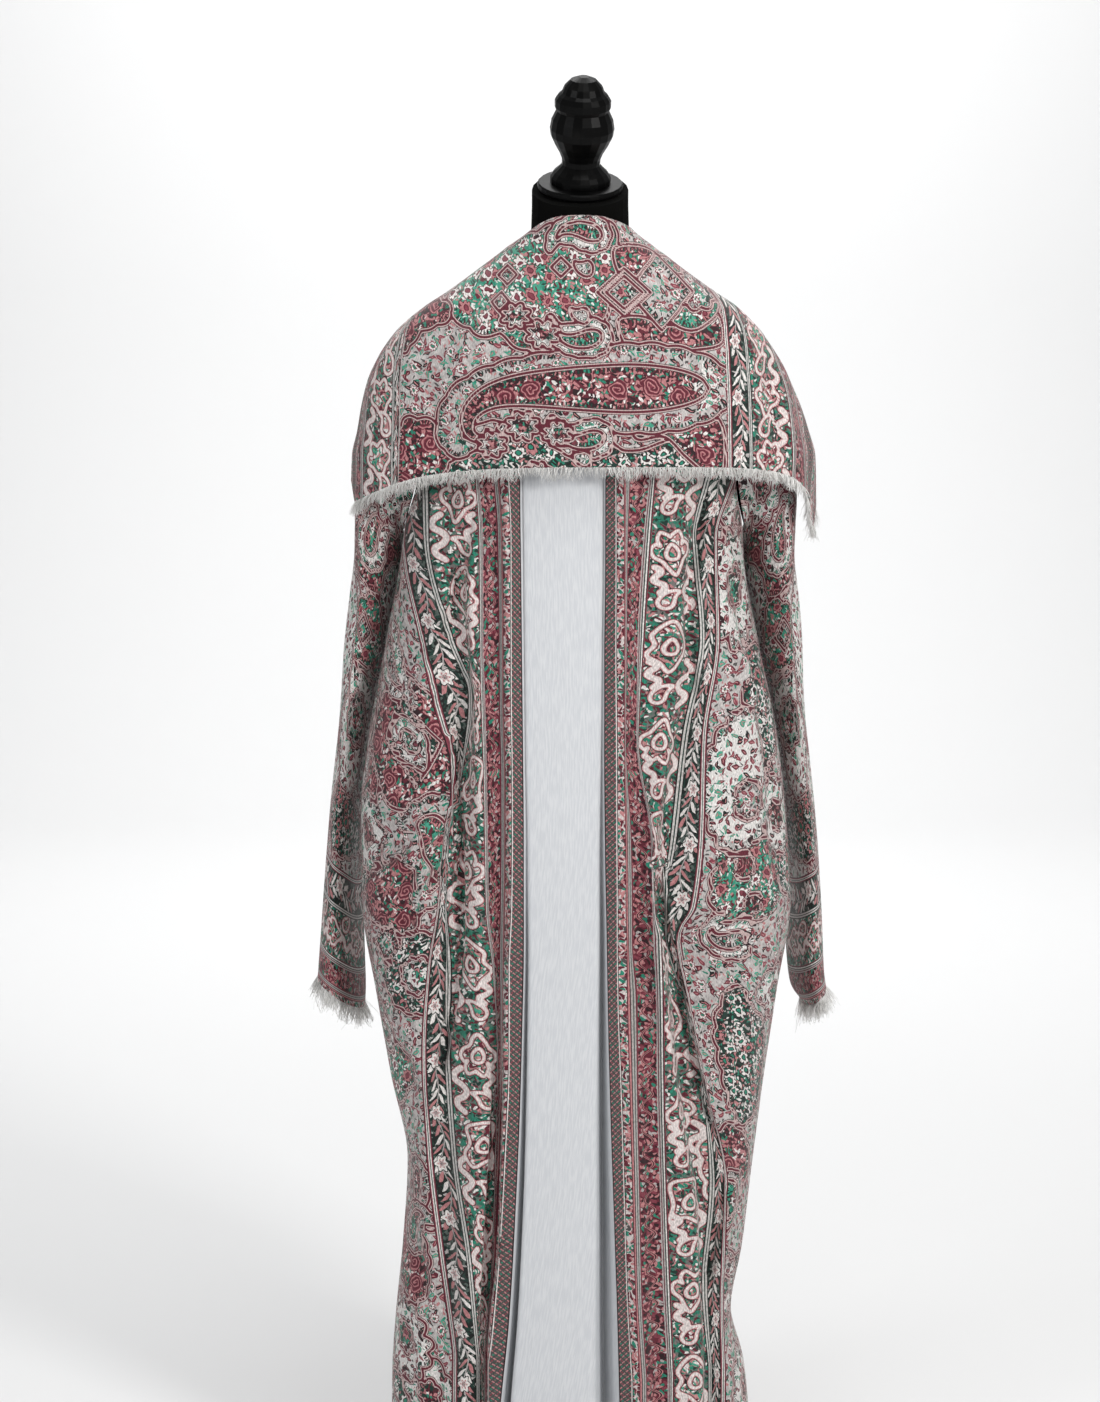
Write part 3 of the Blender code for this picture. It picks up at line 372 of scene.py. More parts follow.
def collar_grid(degrees, rows):
    """The cape collar as rows from the stand's foot over the roll and down to the lower edge."""
    roll, edge, middle, rim = (smooth(degrees, COLLAR_ROUND["degrees"], COLLAR_ROUND[k])
                               for k in ("roll", "edge", "middle", "rim"))
    angle = np.radians(degrees)
    top = float(COLLAR["height"][0])
    stand = []
    for share, inset in ((0.0, 1.0), (0.8, 0.0)):
        z = STAND_FOOT + (roll - STAND_BELOW_ROLL - STAND_FOOT) * share
        r = STAND_RADIUS + inset
        stand.append(np.stack([r * np.sin(angle), -r * np.cos(angle), z], axis=1))
    x, y, nx, ny = plan_point(COLLAR, COLLAR_POWER, np.full(len(degrees), top), angle)
    crest = np.stack([0.5 * (x + STAND_RADIUS * np.sin(angle)),
                      0.5 * (y - STAND_RADIUS * np.cos(angle)), roll], axis=1)
    fall = []
    for row in range(rows):
        share = (row / (rows - 1)) ** 0.85
        start = roll - FALL_BELOW_ROLL
        z = start + (edge - start) * share
        x, y, nx, ny = plan_point(COLLAR, COLLAR_POWER, np.minimum(z, top), angle)
        out = middle * math.sin(math.pi * share) + rim * share ** 2
        fall.append(np.stack([x + nx * out, y + ny * out, z], axis=1))
    bends = []
    for a, b, c in ((stand[1], 0.35 * stand[1] + 0.65 * crest, crest),
                    (crest, 0.55 * crest + 0.45 * fall[0], fall[0])):
        for t in np.linspace(0, 1, 5)[1:]:
            bends.append(a * (1 - t) ** 2 + 2 * b * t * (1 - t) + c * t * t)
    middle_stand = 0.5 * (stand[0] + stand[1])
    return np.array([stand[0], middle_stand, stand[1], *bends, *fall[1:]])


def armhole_ring(turn, side):
    """The sleeve's first ring, on the body's surface just inside the armhole's edge."""
    height = ARMHOLE_CENTRE + ARMHOLE_HALF_HEIGHT * np.cos(turn)
    away = ARMHOLE_HALF_DEPTH * np.abs(np.sin(turn))
    front = np.sin(turn) < 0
    deep = np.where(front, column(BODY, "front", height), column(BODY, "back", height))
    wide = column(BODY, side, height)
    x = wide * (1 - (away / deep) ** BODY_POWER) ** (1 / BODY_POWER)
    return np.stack([x + SLEEVE_STEP[side], np.where(front, away, -away), height], axis=1)


def sleeve_grid(table, side, rings, points):
    """Rings from the armhole's edge to the cuff. Point 0 is the shoulder, then towards the back."""
    sign = -1 if side == "left" else 1
    count = len(table["top_x"])
    where = np.linspace(0, count - 1, rings)
    line = {k: smooth(where, np.arange(count), table[k]) for k in table}
    turn = circle(points)
    first = armhole_ring(turn, side)
    grid = []
    for i in range(rings):
        forward, swing = line["forward"][i], line["swing"][i]
        top = np.array([line["top_x"][i], forward - swing, line["top_z"][i]])
        low = np.array([line["low_x"][i], forward + swing, line["low_z"][i]])
        ring = (top + low) / 2 + np.outer(np.cos(turn), (top - low) / 2)
        ring[:, 1] -= line["depth"][i] * np.sin(turn)
        hold = max(0.0, 1 - i / (rings - 1) / SLEEVE_JOIN) ** 1.5
        ring = ring * (1 - hold) + first * hold
        ring[:, 0] *= sign
        grid.append(ring)
    return np.array(grid)


def grid_normals(grid, closed, outward):
    """Outward unit normals. closed grids are rings; outward is 1 or -1, by the way the columns run."""
    if closed:
        along = np.roll(grid, -1, axis=1) - np.roll(grid, 1, axis=1)
    else:
        along = np.gradient(grid, axis=1)
    normal = np.cross(np.gradient(grid, axis=0), along) * outward
    return normal / np.maximum(np.linalg.norm(normal, axis=2, keepdims=True), 1e-9)


def crease(grid, normals, lines):
    """Presses creases and raises ridges along given paths on a grid."""
    z, x = grid[..., 2], grid[..., 0]
    moved = np.zeros_like(z)
    for path, out, width, lip, lip_side, fade in lines:
        heights, xs = zip(*path)
        slope = (xs[-1] - xs[0]) / (heights[-1] - heights[0])
        away = (x - smooth(z, heights, xs)) / math.hypot(1, slope)
        push = out * np.exp(-(away / width) ** 2)
        if lip:
            push = push + lip * np.exp(-((away - lip_side * 1.5 * width) / width) ** 2)
        ends = np.clip(np.minimum(z - min(heights), max(heights) - z) / fade, 0, 1)
        moved += CREASE_DEPTH * push * ease(ends)
    return grid + normals * moved[..., None]


def drape(grid, normals, amount, seed):
    """Soft upright folds that deepen towards the hem."""
    x, z = grid[..., 0], grid[..., 2]
    low = np.clip((1180 - z) / (1180 - HEM_HEIGHT), 0, 1)
    slow = 0.6 * np.sin(z / 190 + seed) + 0.4 * np.sin(z / 83 + 2 * seed)
    wave = (np.sin(x / 9.5 + 2.2 * slow) + 0.6 * np.sin(x / 5.1 - 1.7 * slow + seed)
            + 0.5 * np.sin(z / 31 + x / 17))
    column = np.linspace(0, 1, grid.shape[1])[None, :]
    rim = np.clip(column * 7, 0, 1) * np.clip((1 - column) * 7, 0, 1)
    top = np.clip((1195 - z) / 60, 0, 1)
    return grid + normals * (amount * wave * (0.25 + 0.75 * low) * rim * top)[..., None]


def add_mesh(name, points, faces, material):
    """A smooth mesh object in the scene. Its points are in metres."""
    mesh = bpy.data.meshes.new(name)
    mesh.from_pydata(points, [], faces)
    mesh.shade_smooth()
    mesh.materials.append(material)
    made = bpy.data.objects.new(name, mesh)
    bpy.context.scene.collection.objects.link(made)
    return made


def add_field(made, name, values):
    """A number at every point of a mesh, for its shader."""
    field = made.data.attributes.new(name, "FLOAT", "POINT")
    field.data.foreach_set("value", values.astype(np.float32))


def shell(name, grid, thick, closed, outward, values, material, step=4):
    """A closed cloth wall: a fine outer face, a coarser inner one, and a rim between them."""
    rows, columns, _ = grid.shape
    inner_rows = np.unique(np.append(np.arange(0, rows, step), rows - 1))
    inner_columns = (np.arange(0, columns, step) if closed
                     else np.unique(np.append(np.arange(0, columns, step), columns - 1)))
    inner = (grid - grid_normals(grid, closed, outward) * thick)[np.ix_(inner_rows, inner_columns)]
    points = np.concatenate([grid.reshape(-1, 3), inner.reshape(-1, 3)]) * MM
    size, many = rows * columns, len(inner_columns)

    def quads(first, high, wide):
        """Corners of a grid's faces, as four arrays of point numbers."""
        r, c = np.meshgrid(np.arange(high - 1), np.arange(wide if closed else wide - 1), indexing="ij")
        a, b = first + r * wide + c, first + r * wide + (c + 1) % wide
        return a, b, a + wide, b + wide

    a, b, under_a, under_b = quads(0, rows, columns)
    polygons = np.stack([a, under_a, under_b, b], axis=-1).reshape(-1, 4).tolist()
    a, b, under_a, under_b = quads(size, len(inner_rows), many)
    polygons += np.stack([a, b, under_b, under_a], axis=-1).reshape(-1, 4).tolist()

    def rim(outer_line, inner_line, flip):
        face = list(outer_line) + list(inner_line)[::-1]
        polygons.append(face[::-1] if flip else face)

    for row, inner_row, flip in ((0, 0, False), (rows - 1, len(inner_rows) - 1, True)):
        for k in range(many if closed else many - 1):
            last = inner_columns[k + 1] if k + 1 < many else columns
            rim([row * columns + j % columns for j in range(inner_columns[k], last + 1)],
                [size + inner_row * many + k, size + inner_row * many + (k + 1) % many], flip)
    if not closed:
        for column, inner_column, flip in ((0, 0, True), (columns - 1, many - 1, False)):
            for k in range(len(inner_rows) - 1):
                rim([j * columns + column for j in range(inner_rows[k], inner_rows[k + 1] + 1)],
                    [size + k * many + inner_column, size + (k + 1) * many + inner_column], flip)
    if outward < 0:
        polygons = [face[::-1] for face in polygons]
    made = add_mesh(name, points.tolist(), polygons, material)
    for key, field in values.items():
        coarse = field[np.ix_(inner_rows, inner_columns)]
        add_field(made, key, np.concatenate([field.reshape(-1), coarse.reshape(-1)]))
    return made


def cut_size(grid, closed):
    """Width and length in m, and area in m2, of the flat piece that a grid's cloth was cut as."""
    wrapped = np.concatenate([grid, grid[:, :1]], axis=1) if closed else grid
    across, down = np.diff(wrapped, axis=1), np.diff(wrapped, axis=0)
    area = np.linalg.norm(np.cross(across[:-1], down[:, :-1]), axis=2).sum()
    width = np.linalg.norm(across, axis=2).sum(axis=1).max()
    return (width * MM, np.linalg.norm(down, axis=2).sum(axis=0).max() * MM), area * MM * MM


# Woven pattern: fields over the cloth


def arc_along(grid):
    """Length along each row from its first point."""
    step = np.linalg.norm(np.diff(grid, axis=1), axis=2)
    return np.concatenate([np.zeros((grid.shape[0], 1)), np.cumsum(step, axis=1)], axis=1)


def bands_from_table(grid, table):
    """Distance from the selvedge in the cloth, for a back panel whose folds swallow parts of bands."""
    arc = arc_along(grid)
    band = np.empty_like(arc)
    for r in range(grid.shape[0]):
        height = grid[r, 0, 2]
        ends = np.array([float(smooth(height, table["height"], row)) for row in table["ends"]])
        away = np.maximum.accumulate(np.abs(grid[r, :, 0]))
        lines = np.interp(ends, away, arc[r])
        lines = np.maximum.accumulate(lines + 0.02 * np.arange(len(lines)))
        lines[0] = 0.0
        band[r] = np.interp(arc[r], lines, BAND_ENDS)
        beyond = arc[r] > lines[-1]
        band[r, beyond] = BAND_ENDS[-1] + arc[r, beyond] - lines[-1]
    return band


class Pattern:
    """Signed distances from every point of a piece to the motifs drawn on it, in cloth millimetres."""

    REACH = 11.0          # how far outside a motif its outline is still measured
    FAR = 99.0
    GROUNDS = ("burgundy", "teal", "green", "white")

    def __init__(self, s, t):
        self.s, self.t = s, t
        self.fields = {k: np.full(s.shape, self.FAR) for k in ("edge", *self.GROUNDS)}
        self.fields["trace"], self.fields["inner"] = np.zeros(s.shape), np.zeros(s.shape)

    def draw(self, points, fill=None, closed=True, half=0.0, outline=True):
        """Lays one motif over what is there. fill names its ground."""
        points = np.asarray(points, float)
        low, high = points.min(0) - self.REACH, points.max(0) + self.REACH
        pick = (self.s > low[0]) & (self.s < high[0]) & (self.t > low[1]) & (self.t < high[1])
        if not pick.any():
            return
        away, trace, inside = nearest(points, np.stack([self.s[pick], self.t[pick]], axis=1), closed)
        d = np.where(inside, -away, away) if closed else away - half
        fields = self.fields
        if outline:
            edge = fields["edge"][pick]
            take = (d < 0) | (d < edge)
            for key, new in (("edge", np.abs(d)), ("trace", trace), ("inner", (d < 0).astype(float))):
                fields[key][pick] = np.where(take, new, fields[key][pick])
        for key in self.GROUNDS:
            old = fields[key][pick]
            fields[key][pick] = np.minimum(old, d) if key == fill else np.maximum(old, -d)

    def lay(self, shape, at, turn=0.0, size=1.0, flip=1, fill=None, **how):
        """Draws a motif that is scaled, mirrored, turned and moved first."""
        self.draw(placed(shape, at, turn, size, flip), fill, **how)

    def ground(self, fill, at, rx, ry, seed, scallops=13, turn=0.0, rough=0.1, bite=4.0):
        """A rounded ground of one colour."""
        patch(self, blob(at, rx, ry, turn, rough, seed), fill, scallops, bite)


def nearest(points, p, closed):
    """Distance to an outline, the length along it there, and whether the outline goes round p."""
    a = points
    b = np.roll(points, -1, axis=0)
    if not closed:
        a, b = a[:-1], b[:-1]
    seg = b - a
    length = np.hypot(seg[:, 0], seg[:, 1]) + 1e-9
    run = np.concatenate([[0], np.cumsum(length)[:-1]])
    best = np.full(len(p), 1e9)
    trace = np.zeros(len(p))
    inside = np.zeros(len(p), bool)
    for k in range(len(seg)):
        rel = p - a[k]
        t = np.clip((rel @ seg[k]) / length[k] ** 2, 0, 1)
        d = np.hypot(rel[:, 0] - t * seg[k, 0], rel[:, 1] - t * seg[k, 1])
        closer = d < best
        best = np.where(closer, d, best)
        trace = np.where(closer, run[k] + t * length[k], trace)
        if closed:
            crosses = (a[k, 1] > p[:, 1]) != (b[k, 1] > p[:, 1])
            if abs(seg[k, 1]) > 1e-12:
                inside ^= crosses & (rel[:, 0] < rel[:, 1] * seg[k, 0] / seg[k, 1])
    return best, trace, inside


def spline(points, per=6, closed=True):
    """A smooth line through a motif's points."""
    p = np.asarray(points, float)
    n = len(p)
    out = []
    for i in range(n if closed else n - 1):
        if closed:
            a, b, c, d = p[i - 1], p[i], p[(i + 1) % n], p[(i + 2) % n]
        else:
            a, b, c, d = p[max(i - 1, 0)], p[i], p[i + 1], p[min(i + 2, n - 1)]
        for k in range(per):
            t = k / per
            out.append(0.5 * (2 * b + (c - a) * t + (2 * a - 5 * b + 4 * c - d) * t * t
                              + (3 * b - a - 3 * c + d) * t ** 3))
    if not closed:
        out.append(p[-1])
    return np.array(out)


def placed(points, at, turn=0.0, size=1.0, flip=1):
    points = np.asarray(points, float) * size
    points[:, 1] *= flip
    c, s = math.cos(math.radians(turn)), math.sin(math.radians(turn))
    return points @ np.array([[c, s], [-s, c]]) + np.array(at)


def paisley(length, width, turned=2.2, late=2.4, scallops=0, bite=1.2):
    """A drop whose tip curls over: the head is at the origin, and the tip turns this many radians."""
    count = 56
    s = np.linspace(0, 1, count)
    heading = turned * s ** late
    step = length / count
    axis = np.cumsum(np.stack([np.cos(heading), np.sin(heading)], axis=1) * step, axis=0)
    widest = 0.28
    rise = np.sqrt(np.clip(1 - (1 - s / widest) ** 2, 0, 1))
    tail = 0.07 + 0.93 * (1 - np.clip((s - widest) / (1 - widest), 0, 1) ** 1.5)
    half = width / 2 * np.where(s < widest, rise, tail)
    normal = np.stack([-np.sin(heading), np.cos(heading)], axis=1)
    points = np.concatenate([axis + normal * half[:, None], (axis - normal * half[:, None])[::-1]])
    return scalloped(points, scallops, bite) if scallops else points


def scalloped(points, count, bite):
    """Bulges an outline outward in round scallops."""
    points = np.asarray(points, float)
    step = np.linalg.norm(np.roll(points, -1, axis=0) - points, axis=1)
    run = np.cumsum(step)
    fine = np.linspace(0, run[-1], count * 10, endpoint=False)
    at = np.concatenate([[0], run])
    loop = np.concatenate([points, points[:1]])
    p = np.stack([np.interp(fine, at, loop[:, k]) for k in (0, 1)], axis=1)
    tangent = np.roll(p, -1, axis=0) - np.roll(p, 1, axis=0)
    normal = np.stack([tangent[:, 1], -tangent[:, 0]], axis=1)
    normal /= np.linalg.norm(normal, axis=1, keepdims=True) + 1e-9
    area = 0.5 * np.sum(p[:, 0] * np.roll(p[:, 1], -1) - np.roll(p[:, 0], -1) * p[:, 1])
    bulge = bite * np.abs(np.sin(math.pi * count * fine / run[-1]))
    return p + normal * np.sign(area) * bulge[:, None]


def medallion(rx, ry, lobes=9, bite=0.16, point=0.0):
    """A lobed oval, with a pointed end when point is above 0."""
    a = circle(lobes * 10)
    r = 1 + bite * (np.abs(np.sin(lobes * a / 2)) - 0.5)
    r = r + point * np.exp(-((a - math.pi / 2) / 0.35) ** 2)
    return np.stack([rx * r * np.cos(a), ry * r * np.sin(a)], axis=1)


def diamond(rx, ry):
    return np.array([(rx, 0), (0, ry), (-rx, 0), (0, -ry)], float)


TULIP_HALF = ((5, -15), (9, -8), (15, -3), (17, 4), (13, 9), (9, 7), (11, 13), (8, 20), (2, 17))
TULIP = spline([(0, -22), *TULIP_HALF, (0, 15), *((-x, y) for x, y in TULIP_HALF[::-1])], 3)
CARTOUCHE = spline([(-15, -18), (0, -23), (14, -17), (11, -2), (17, 10), (9, 22), (-4, 15), (-16, 21),
                    (-13, 3)], 4)
LEAF = spline([(0, -25), (9, -14), (14, 0), (8, 14), (0, 24), (-7, 15), (-16, 8), (-11, -2),
               (-13, -12)], 4)
BUD = spline([(0, -9), (6, 0), (4, 7), (-4, 7), (-6, 0)], 4)
RIBBON = spline([(-3, -26), (5, -20), (6, -12), (-2, -6), (-7, 1), (-2, 8), (6, 12), (7, 19), (0, 26)],
                4, False)


def drop(pattern, at, turn, length, width, flip=1, fill="white", heart=None,
         turned=2.2, late=2.4, scallops=0, bite=2.0):
    """A paisley with a smaller one of another ground inside."""
    pattern.lay(paisley(length, width, turned, late, scallops, bite), at, turn, 1.0, flip, fill)
    inset = placed([(0.26 * width, 0)], at, turn)[0]
    if width > 30:
        pattern.lay(paisley(length * 0.66, width * 0.46, turned * 0.7, late), inset, turn, 1.0, flip,
                    heart)


def medal(pattern, at, rx, ry, turn=0.0, lobes=9, fill="white", heart="teal", point=0.0):
    """A lobed medallion with a small flower-like heart of another ground."""
    pattern.lay(medallion(rx, ry, lobes, 0.2, point), at, turn, fill=fill)
    if min(rx, ry) > 15:
        pattern.lay(medallion(rx * 0.36, ry * 0.38, 6, 0.3), at, turn, fill=heart,
                    outline=min(rx, ry) > 25)


def steps(pattern, at, rx, ry, fills=("burgundy", None, "teal")):
    """Nested diamonds."""
    for share, fill in zip((1.0, 0.68, 0.34), fills):
        pattern.lay(diamond(rx * share, ry * share), at, fill=fill,
                    outline=rx * share > 15 or share == 1.0)


def patch(pattern, points, fill, scallops=0, bite=4.0):
    """A ground of another colour with a soft or scalloped edge."""
    line = spline(points, 5)
    pattern.draw(scalloped(line, scallops, bite) if scallops else line, fill)


def blob(at, rx, ry, turn=0.0, rough=0.12, seed=0.0):
    """The corner points of a rounded, uneven ground."""
    a = circle(12)
    r = 1 + rough * np.sin(3 * a + seed) + 0.7 * rough * np.sin(5 * a + 2.3 * seed)
    return placed(np.stack([rx * r * np.cos(a), ry * r * np.sin(a)], axis=1), at, turn)


def ribbon(pattern, at, turn, size, flip=1, half=1.5):
    """A thin wavy line."""
    pattern.lay(RIBBON, at, turn, size, flip, closed=False, half=half)


def border(pattern, first, period, middle=87.0):
    """The wide border's motifs: large outlined ones, with ribbons and small paisleys between them."""
    shapes = (TULIP, CARTOUCHE, TULIP * (1, -1), LEAF)
    for k in range(int((PATTERN_END - first) / period) + 1):
        t = first + k * period
        lean = 8.0 * math.sin(2.1 * k)
        pattern.lay(shapes[k % 4], (middle - 5, t), lean, 1.15)
        pattern.lay(BUD, (middle - 5, t), lean)
        between = t + period / 2
        ribbon(pattern, (middle + 15, between - 10), 6, 0.95, half=1.6)
        pattern.lay(paisley(26, 13, 1.5, 2.0), (middle - 12, between + 10), -80)
        ribbon(pattern, (middle - 17, between - 22), -14, 0.55, -1, half=1.3)


def scatter(pattern, low, high, seed, keep=(), fills=("burgundy", "green", "teal", "burgundy", "green")):
    """Fills a field with grounds and motifs in a loose order, away from the places in keep."""
    rng = np.random.default_rng(seed)
    cell = (84.0, 98.0)
    spots = []
    for i in range(int((high[0] - low[0]) / cell[0]) + 1):
        for j in range(int((high[1] - low[1]) / cell[1]) + 1):
            at = (low[0] + (i + 0.5 + 0.12 * rng.standard_normal()) * cell[0],
                  low[1] + (j + 0.5 * (i % 2) + 0.1 * rng.standard_normal()) * cell[1])
            spots.append((at, (2 * i + j) % 5, rng.random(4)))
    spots = [spot for spot in spots
             if all(math.hypot(spot[0][0] - x, spot[0][1] - y) > r for x, y, r in keep)]
    for at, kind, chance in spots:
        corner = (at[0] + 0.45 * cell[0], at[1] + 0.3 * cell[1])
        line = spline(blob(corner, 58, 62, 40 * chance[0], 0.16, 6 * chance[1]), 4)
        pattern.draw(scalloped(line, 13, 4.0), fills[kind])
    for at, kind, chance in spots:
        turn = 360 * chance[0]
        flip = 1 if chance[1] > 0.5 else -1
        if kind == 0:
            drop(pattern, at, turn, 112, 62, flip, "white", "burgundy", scallops=15)
        elif kind == 1:
            medal(pattern, at, 36, 44, turn, 9, "white", "burgundy")
        elif kind == 2:
            drop(pattern, at, turn, 84, 46, flip, "white", "teal")
            steps(pattern, (at[0] + 30, at[1] - 34), 15, 16)
        elif kind == 3:
            medal(pattern, at, 32, 38, turn, 7, "white", "teal", 0.35)
        else:
            steps(pattern, at, 24, 26, ("teal", None, "burgundy"))


# Finishes


class Paint:
    """Builds a shader from short expressions."""

    def __init__(self, name, roughness, sheen=0.0, sheen_tint=(1, 1, 1), specular=0.35):
        self.material = bpy.data.materials.new(name)
        self.material.use_nodes = True
        self.tree = self.material.node_tree
        self.shader = self.tree.nodes["Principled BSDF"]
        self.shader.inputs["Roughness"].default_value = roughness
        self.shader.inputs["Specular IOR Level"].default_value = specular
        self.shader.inputs["Sheen Weight"].default_value = sheen
        self.shader.inputs["Sheen Roughness"].default_value = 0.45
        self.shader.inputs["Sheen Tint"].default_value = (*sheen_tint, 1.0)

    def node(self, kind, inputs=None, out=0, **settings):
        made = self.tree.nodes.new(kind)
        for key, value in settings.items():
            setattr(made, key, value)
        for key, value in (inputs or {}).items():
            socket = made.inputs[key]
            if isinstance(value, Value):
                value = value.socket
            if isinstance(value, bpy.types.NodeSocket):
                self.tree.links.new(value, socket)
            elif hasattr(value, "__len__") and len(value) == 3 and len(socket.default_value) == 4:
                socket.default_value = (*value, 1.0)
            else:
                socket.default_value = value
        return Value(self, made.outputs[out])

    def attr(self, name):
        return self.node("ShaderNodeAttribute", attribute_name=name, out="Fac")

    def vector(self, x, y, z=0.0):
        return self.node("ShaderNodeCombineXYZ", {"X": x, "Y": y, "Z": z})

    def place(self):
        return self.node("ShaderNodeTexCoord", out="Object")

    def noise(self, at, scale=1.0, detail=2.0, flat=False):
        return self.node("ShaderNodeTexNoise", {"Vector": at, "Scale": scale, "Detail": detail},
                         noise_dimensions="2D" if flat else "3D")

    def split(self, vector):
        """A vector's x and y."""
        x = self.node("ShaderNodeSeparateXYZ", {"Vector": vector})
        return x, Value(self, x.socket.node.outputs[1])

    def cells(self, s, t, size, random):
        """For the nearest of a field of points: a random number, and the way here from it."""
        at = self.vector(s / size, t / size)
        cell = self.node("ShaderNodeTexVoronoi", {"Vector": at, "Scale": 1.0, "Randomness": random},
                         voronoi_dimensions="2D").socket.node
        away = self.node("ShaderNodeVectorMath", {0: at, 1: cell.outputs["Position"]},
                         operation="SUBTRACT")
        return self.node("ShaderNodeSeparateColor", {"Color": cell.outputs["Color"]}), away

    def mix(self, share, first, second):
        return self.node("ShaderNodeMix", {0: share, 6: first, 7: second}, out=2, data_type="RGBA")

    def tones(self, at, stops, low=0.0, span=1.0):
        """Flat colours: each runs from its own start up to the next one's."""
        if (low, span) != (0.0, 1.0):
            at = (at - low) / span
        made = self.node("ShaderNodeValToRGB", {"Fac": at})
        ramp = made.socket.node.color_ramp
        ramp.interpolation = "CONSTANT"
        for k, (start, colour) in enumerate(stops):
            place = (start - low) / span
            element = ramp.elements[k] if k < 2 else ramp.elements.new(place)
            element.position, element.color = place, (*colour, 1.0)
        return made

    def finish(self, colour, height=None, distance=0.0004, strength=0.5):
        self.tree.links.new(colour.socket, self.shader.inputs["Base Color"])
        if height is not None:
            bump = self.node("ShaderNodeBump",
                             {"Height": height, "Strength": strength, "Distance": distance})
            self.tree.links.new(bump.socket, self.shader.inputs["Normal"])
        return self.material


class Value:
    """A number or colour in a shader, with arithmetic."""

    def __init__(self, paint, socket):
        self.paint, self.socket = paint, socket

    def math(self, operation, *others):
        return self.paint.node("ShaderNodeMath", dict(enumerate((self, *others))), operation=operation)

    __add__ = __radd__ = partialmethod(math, "ADD")
    __mul__ = __rmul__ = partialmethod(math, "MULTIPLY")
    __sub__ = partialmethod(math, "SUBTRACT")
    __truediv__ = partialmethod(math, "DIVIDE")
    __mod__ = partialmethod(math, "FLOORED_MODULO")
    __abs__ = partialmethod(math, "ABSOLUTE")
    __lt__ = partialmethod(math, "LESS_THAN")
    __gt__ = partialmethod(math, "GREATER_THAN")

    def wave(self, period, amount=1.0):
        """A sine of this value."""
        return (self * (TURN / period)).math("SINE") * amount

    def within(self, low, high):
        """1 between low and high, else 0."""
        return (self > low) * (self < high)

    def soft(self, low, high):
        """From 0 at low to 1 at high."""
        return self.paint.node("ShaderNodeMapRange", {"Value": self, "From Min": low, "From Max": high},
                               interpolation_type="SMOOTHSTEP")


SILVER, PEARL, GREY = (0.40, 0.37, 0.36), (0.70, 0.665, 0.64), (0.07, 0.064, 0.062)
BURGUNDY, WINE = (0.105, 0.010, 0.022), (0.020, 0.004, 0.007)
SALMON, ROSE = (0.44, 0.185, 0.19), (0.20, 0.036, 0.055)
TEAL, MINT, MOSS = (0.014, 0.20, 0.13), (0.05, 0.30, 0.205), (0.075, 0.10, 0.087)
PINE, INK = (0.005, 0.030, 0.022), (0.004, 0.006, 0.005)
PALE, ASH = (0.55, 0.53, 0.51), (0.52, 0.49, 0.475)
STRIPES = {      # starts in mm from the selvedge, with the colour that runs from there
    "first": ((23.0, SALMON), (24.6, WINE), (25.6, SILVER), (27.4, MOSS), (28.6, SILVER),
              (30.2, BURGUNDY), (31.2, ROSE)),
    "second": ((54.0, SILVER), (55.2, BURGUNDY), (56.2, SILVER), (57.6, PINE), (58.8, PEARL),
               (60.2, WINE), (61.2, ROSE)),
    "double": ((112.0, INK), (113.2, PALE), (114.8, PINE), (115.7, PALE), (117.2, INK)),
    "pink": ((147.0, WINE), (148.0, ROSE), (149.6, PEARL), (150.8, MOSS), (152.2, PEARL), (153.4, ROSE),
             (155.0, WINE)),
}
STRIPES_SPAN = 9.0

# Sizes in mm of the cells that hold one small motif each, and how many petals a flower has
SMALL_MARKS, LARGE_MARKS, BLOOMS, WHORLS = (5.4, 4.7), 9.6, 20.0, 31.0
PETALS = 7.0
VINE, VINE_LEAF, VINE_HALF = 62.0, 11.0, 13.0    # the vine's repeat, its leaves' repeat, its half width
SCROLL, LATTICE, WEFT, WARP = 27.0, 6.6, 1.5, 1.3      # repeats in mm
BORDER_MARKS = ((0.0, PEARL), (0.16, TEAL), (0.36, SALMON), (0.50, BURGUNDY), (0.74, PINE))
SCROLL_MARKS = ((0.0, SALMON), (0.26, SILVER), (0.38, TEAL), (0.5, WINE), (0.8, ROSE))
LEAF_MARKS = ((0.0, BURGUNDY), (0.35, TEAL), (0.55, SALMON), (0.85, GREY))


def flower_heads(p, s, t, size, random):
    """Distance from the nearest flower's middle in mm, the angle round it, and a random number for it."""
    pick, away = p.cells(s, t, size, random)
    x, y = p.split(away)
    return (x * x + y * y).math("SQRT") * size, y.math("ARCTAN2", x), pick


def leaf_marks(p, s, t, size):
    """Leaf-shaped marks that point every way: 0 on a midrib, 0.3 at a usual edge, and a random number."""
    pick, away = p.cells(s, t, size, 0.95)
    along, across = p.split(p.node("ShaderNodeVectorRotate", {"Vector": away, "Angle": pick * 17.0},
                                   rotation_type="Z_AXIS"))
    return abs(across).math("MULTIPLY_ADD", 1.15, along * along), pick


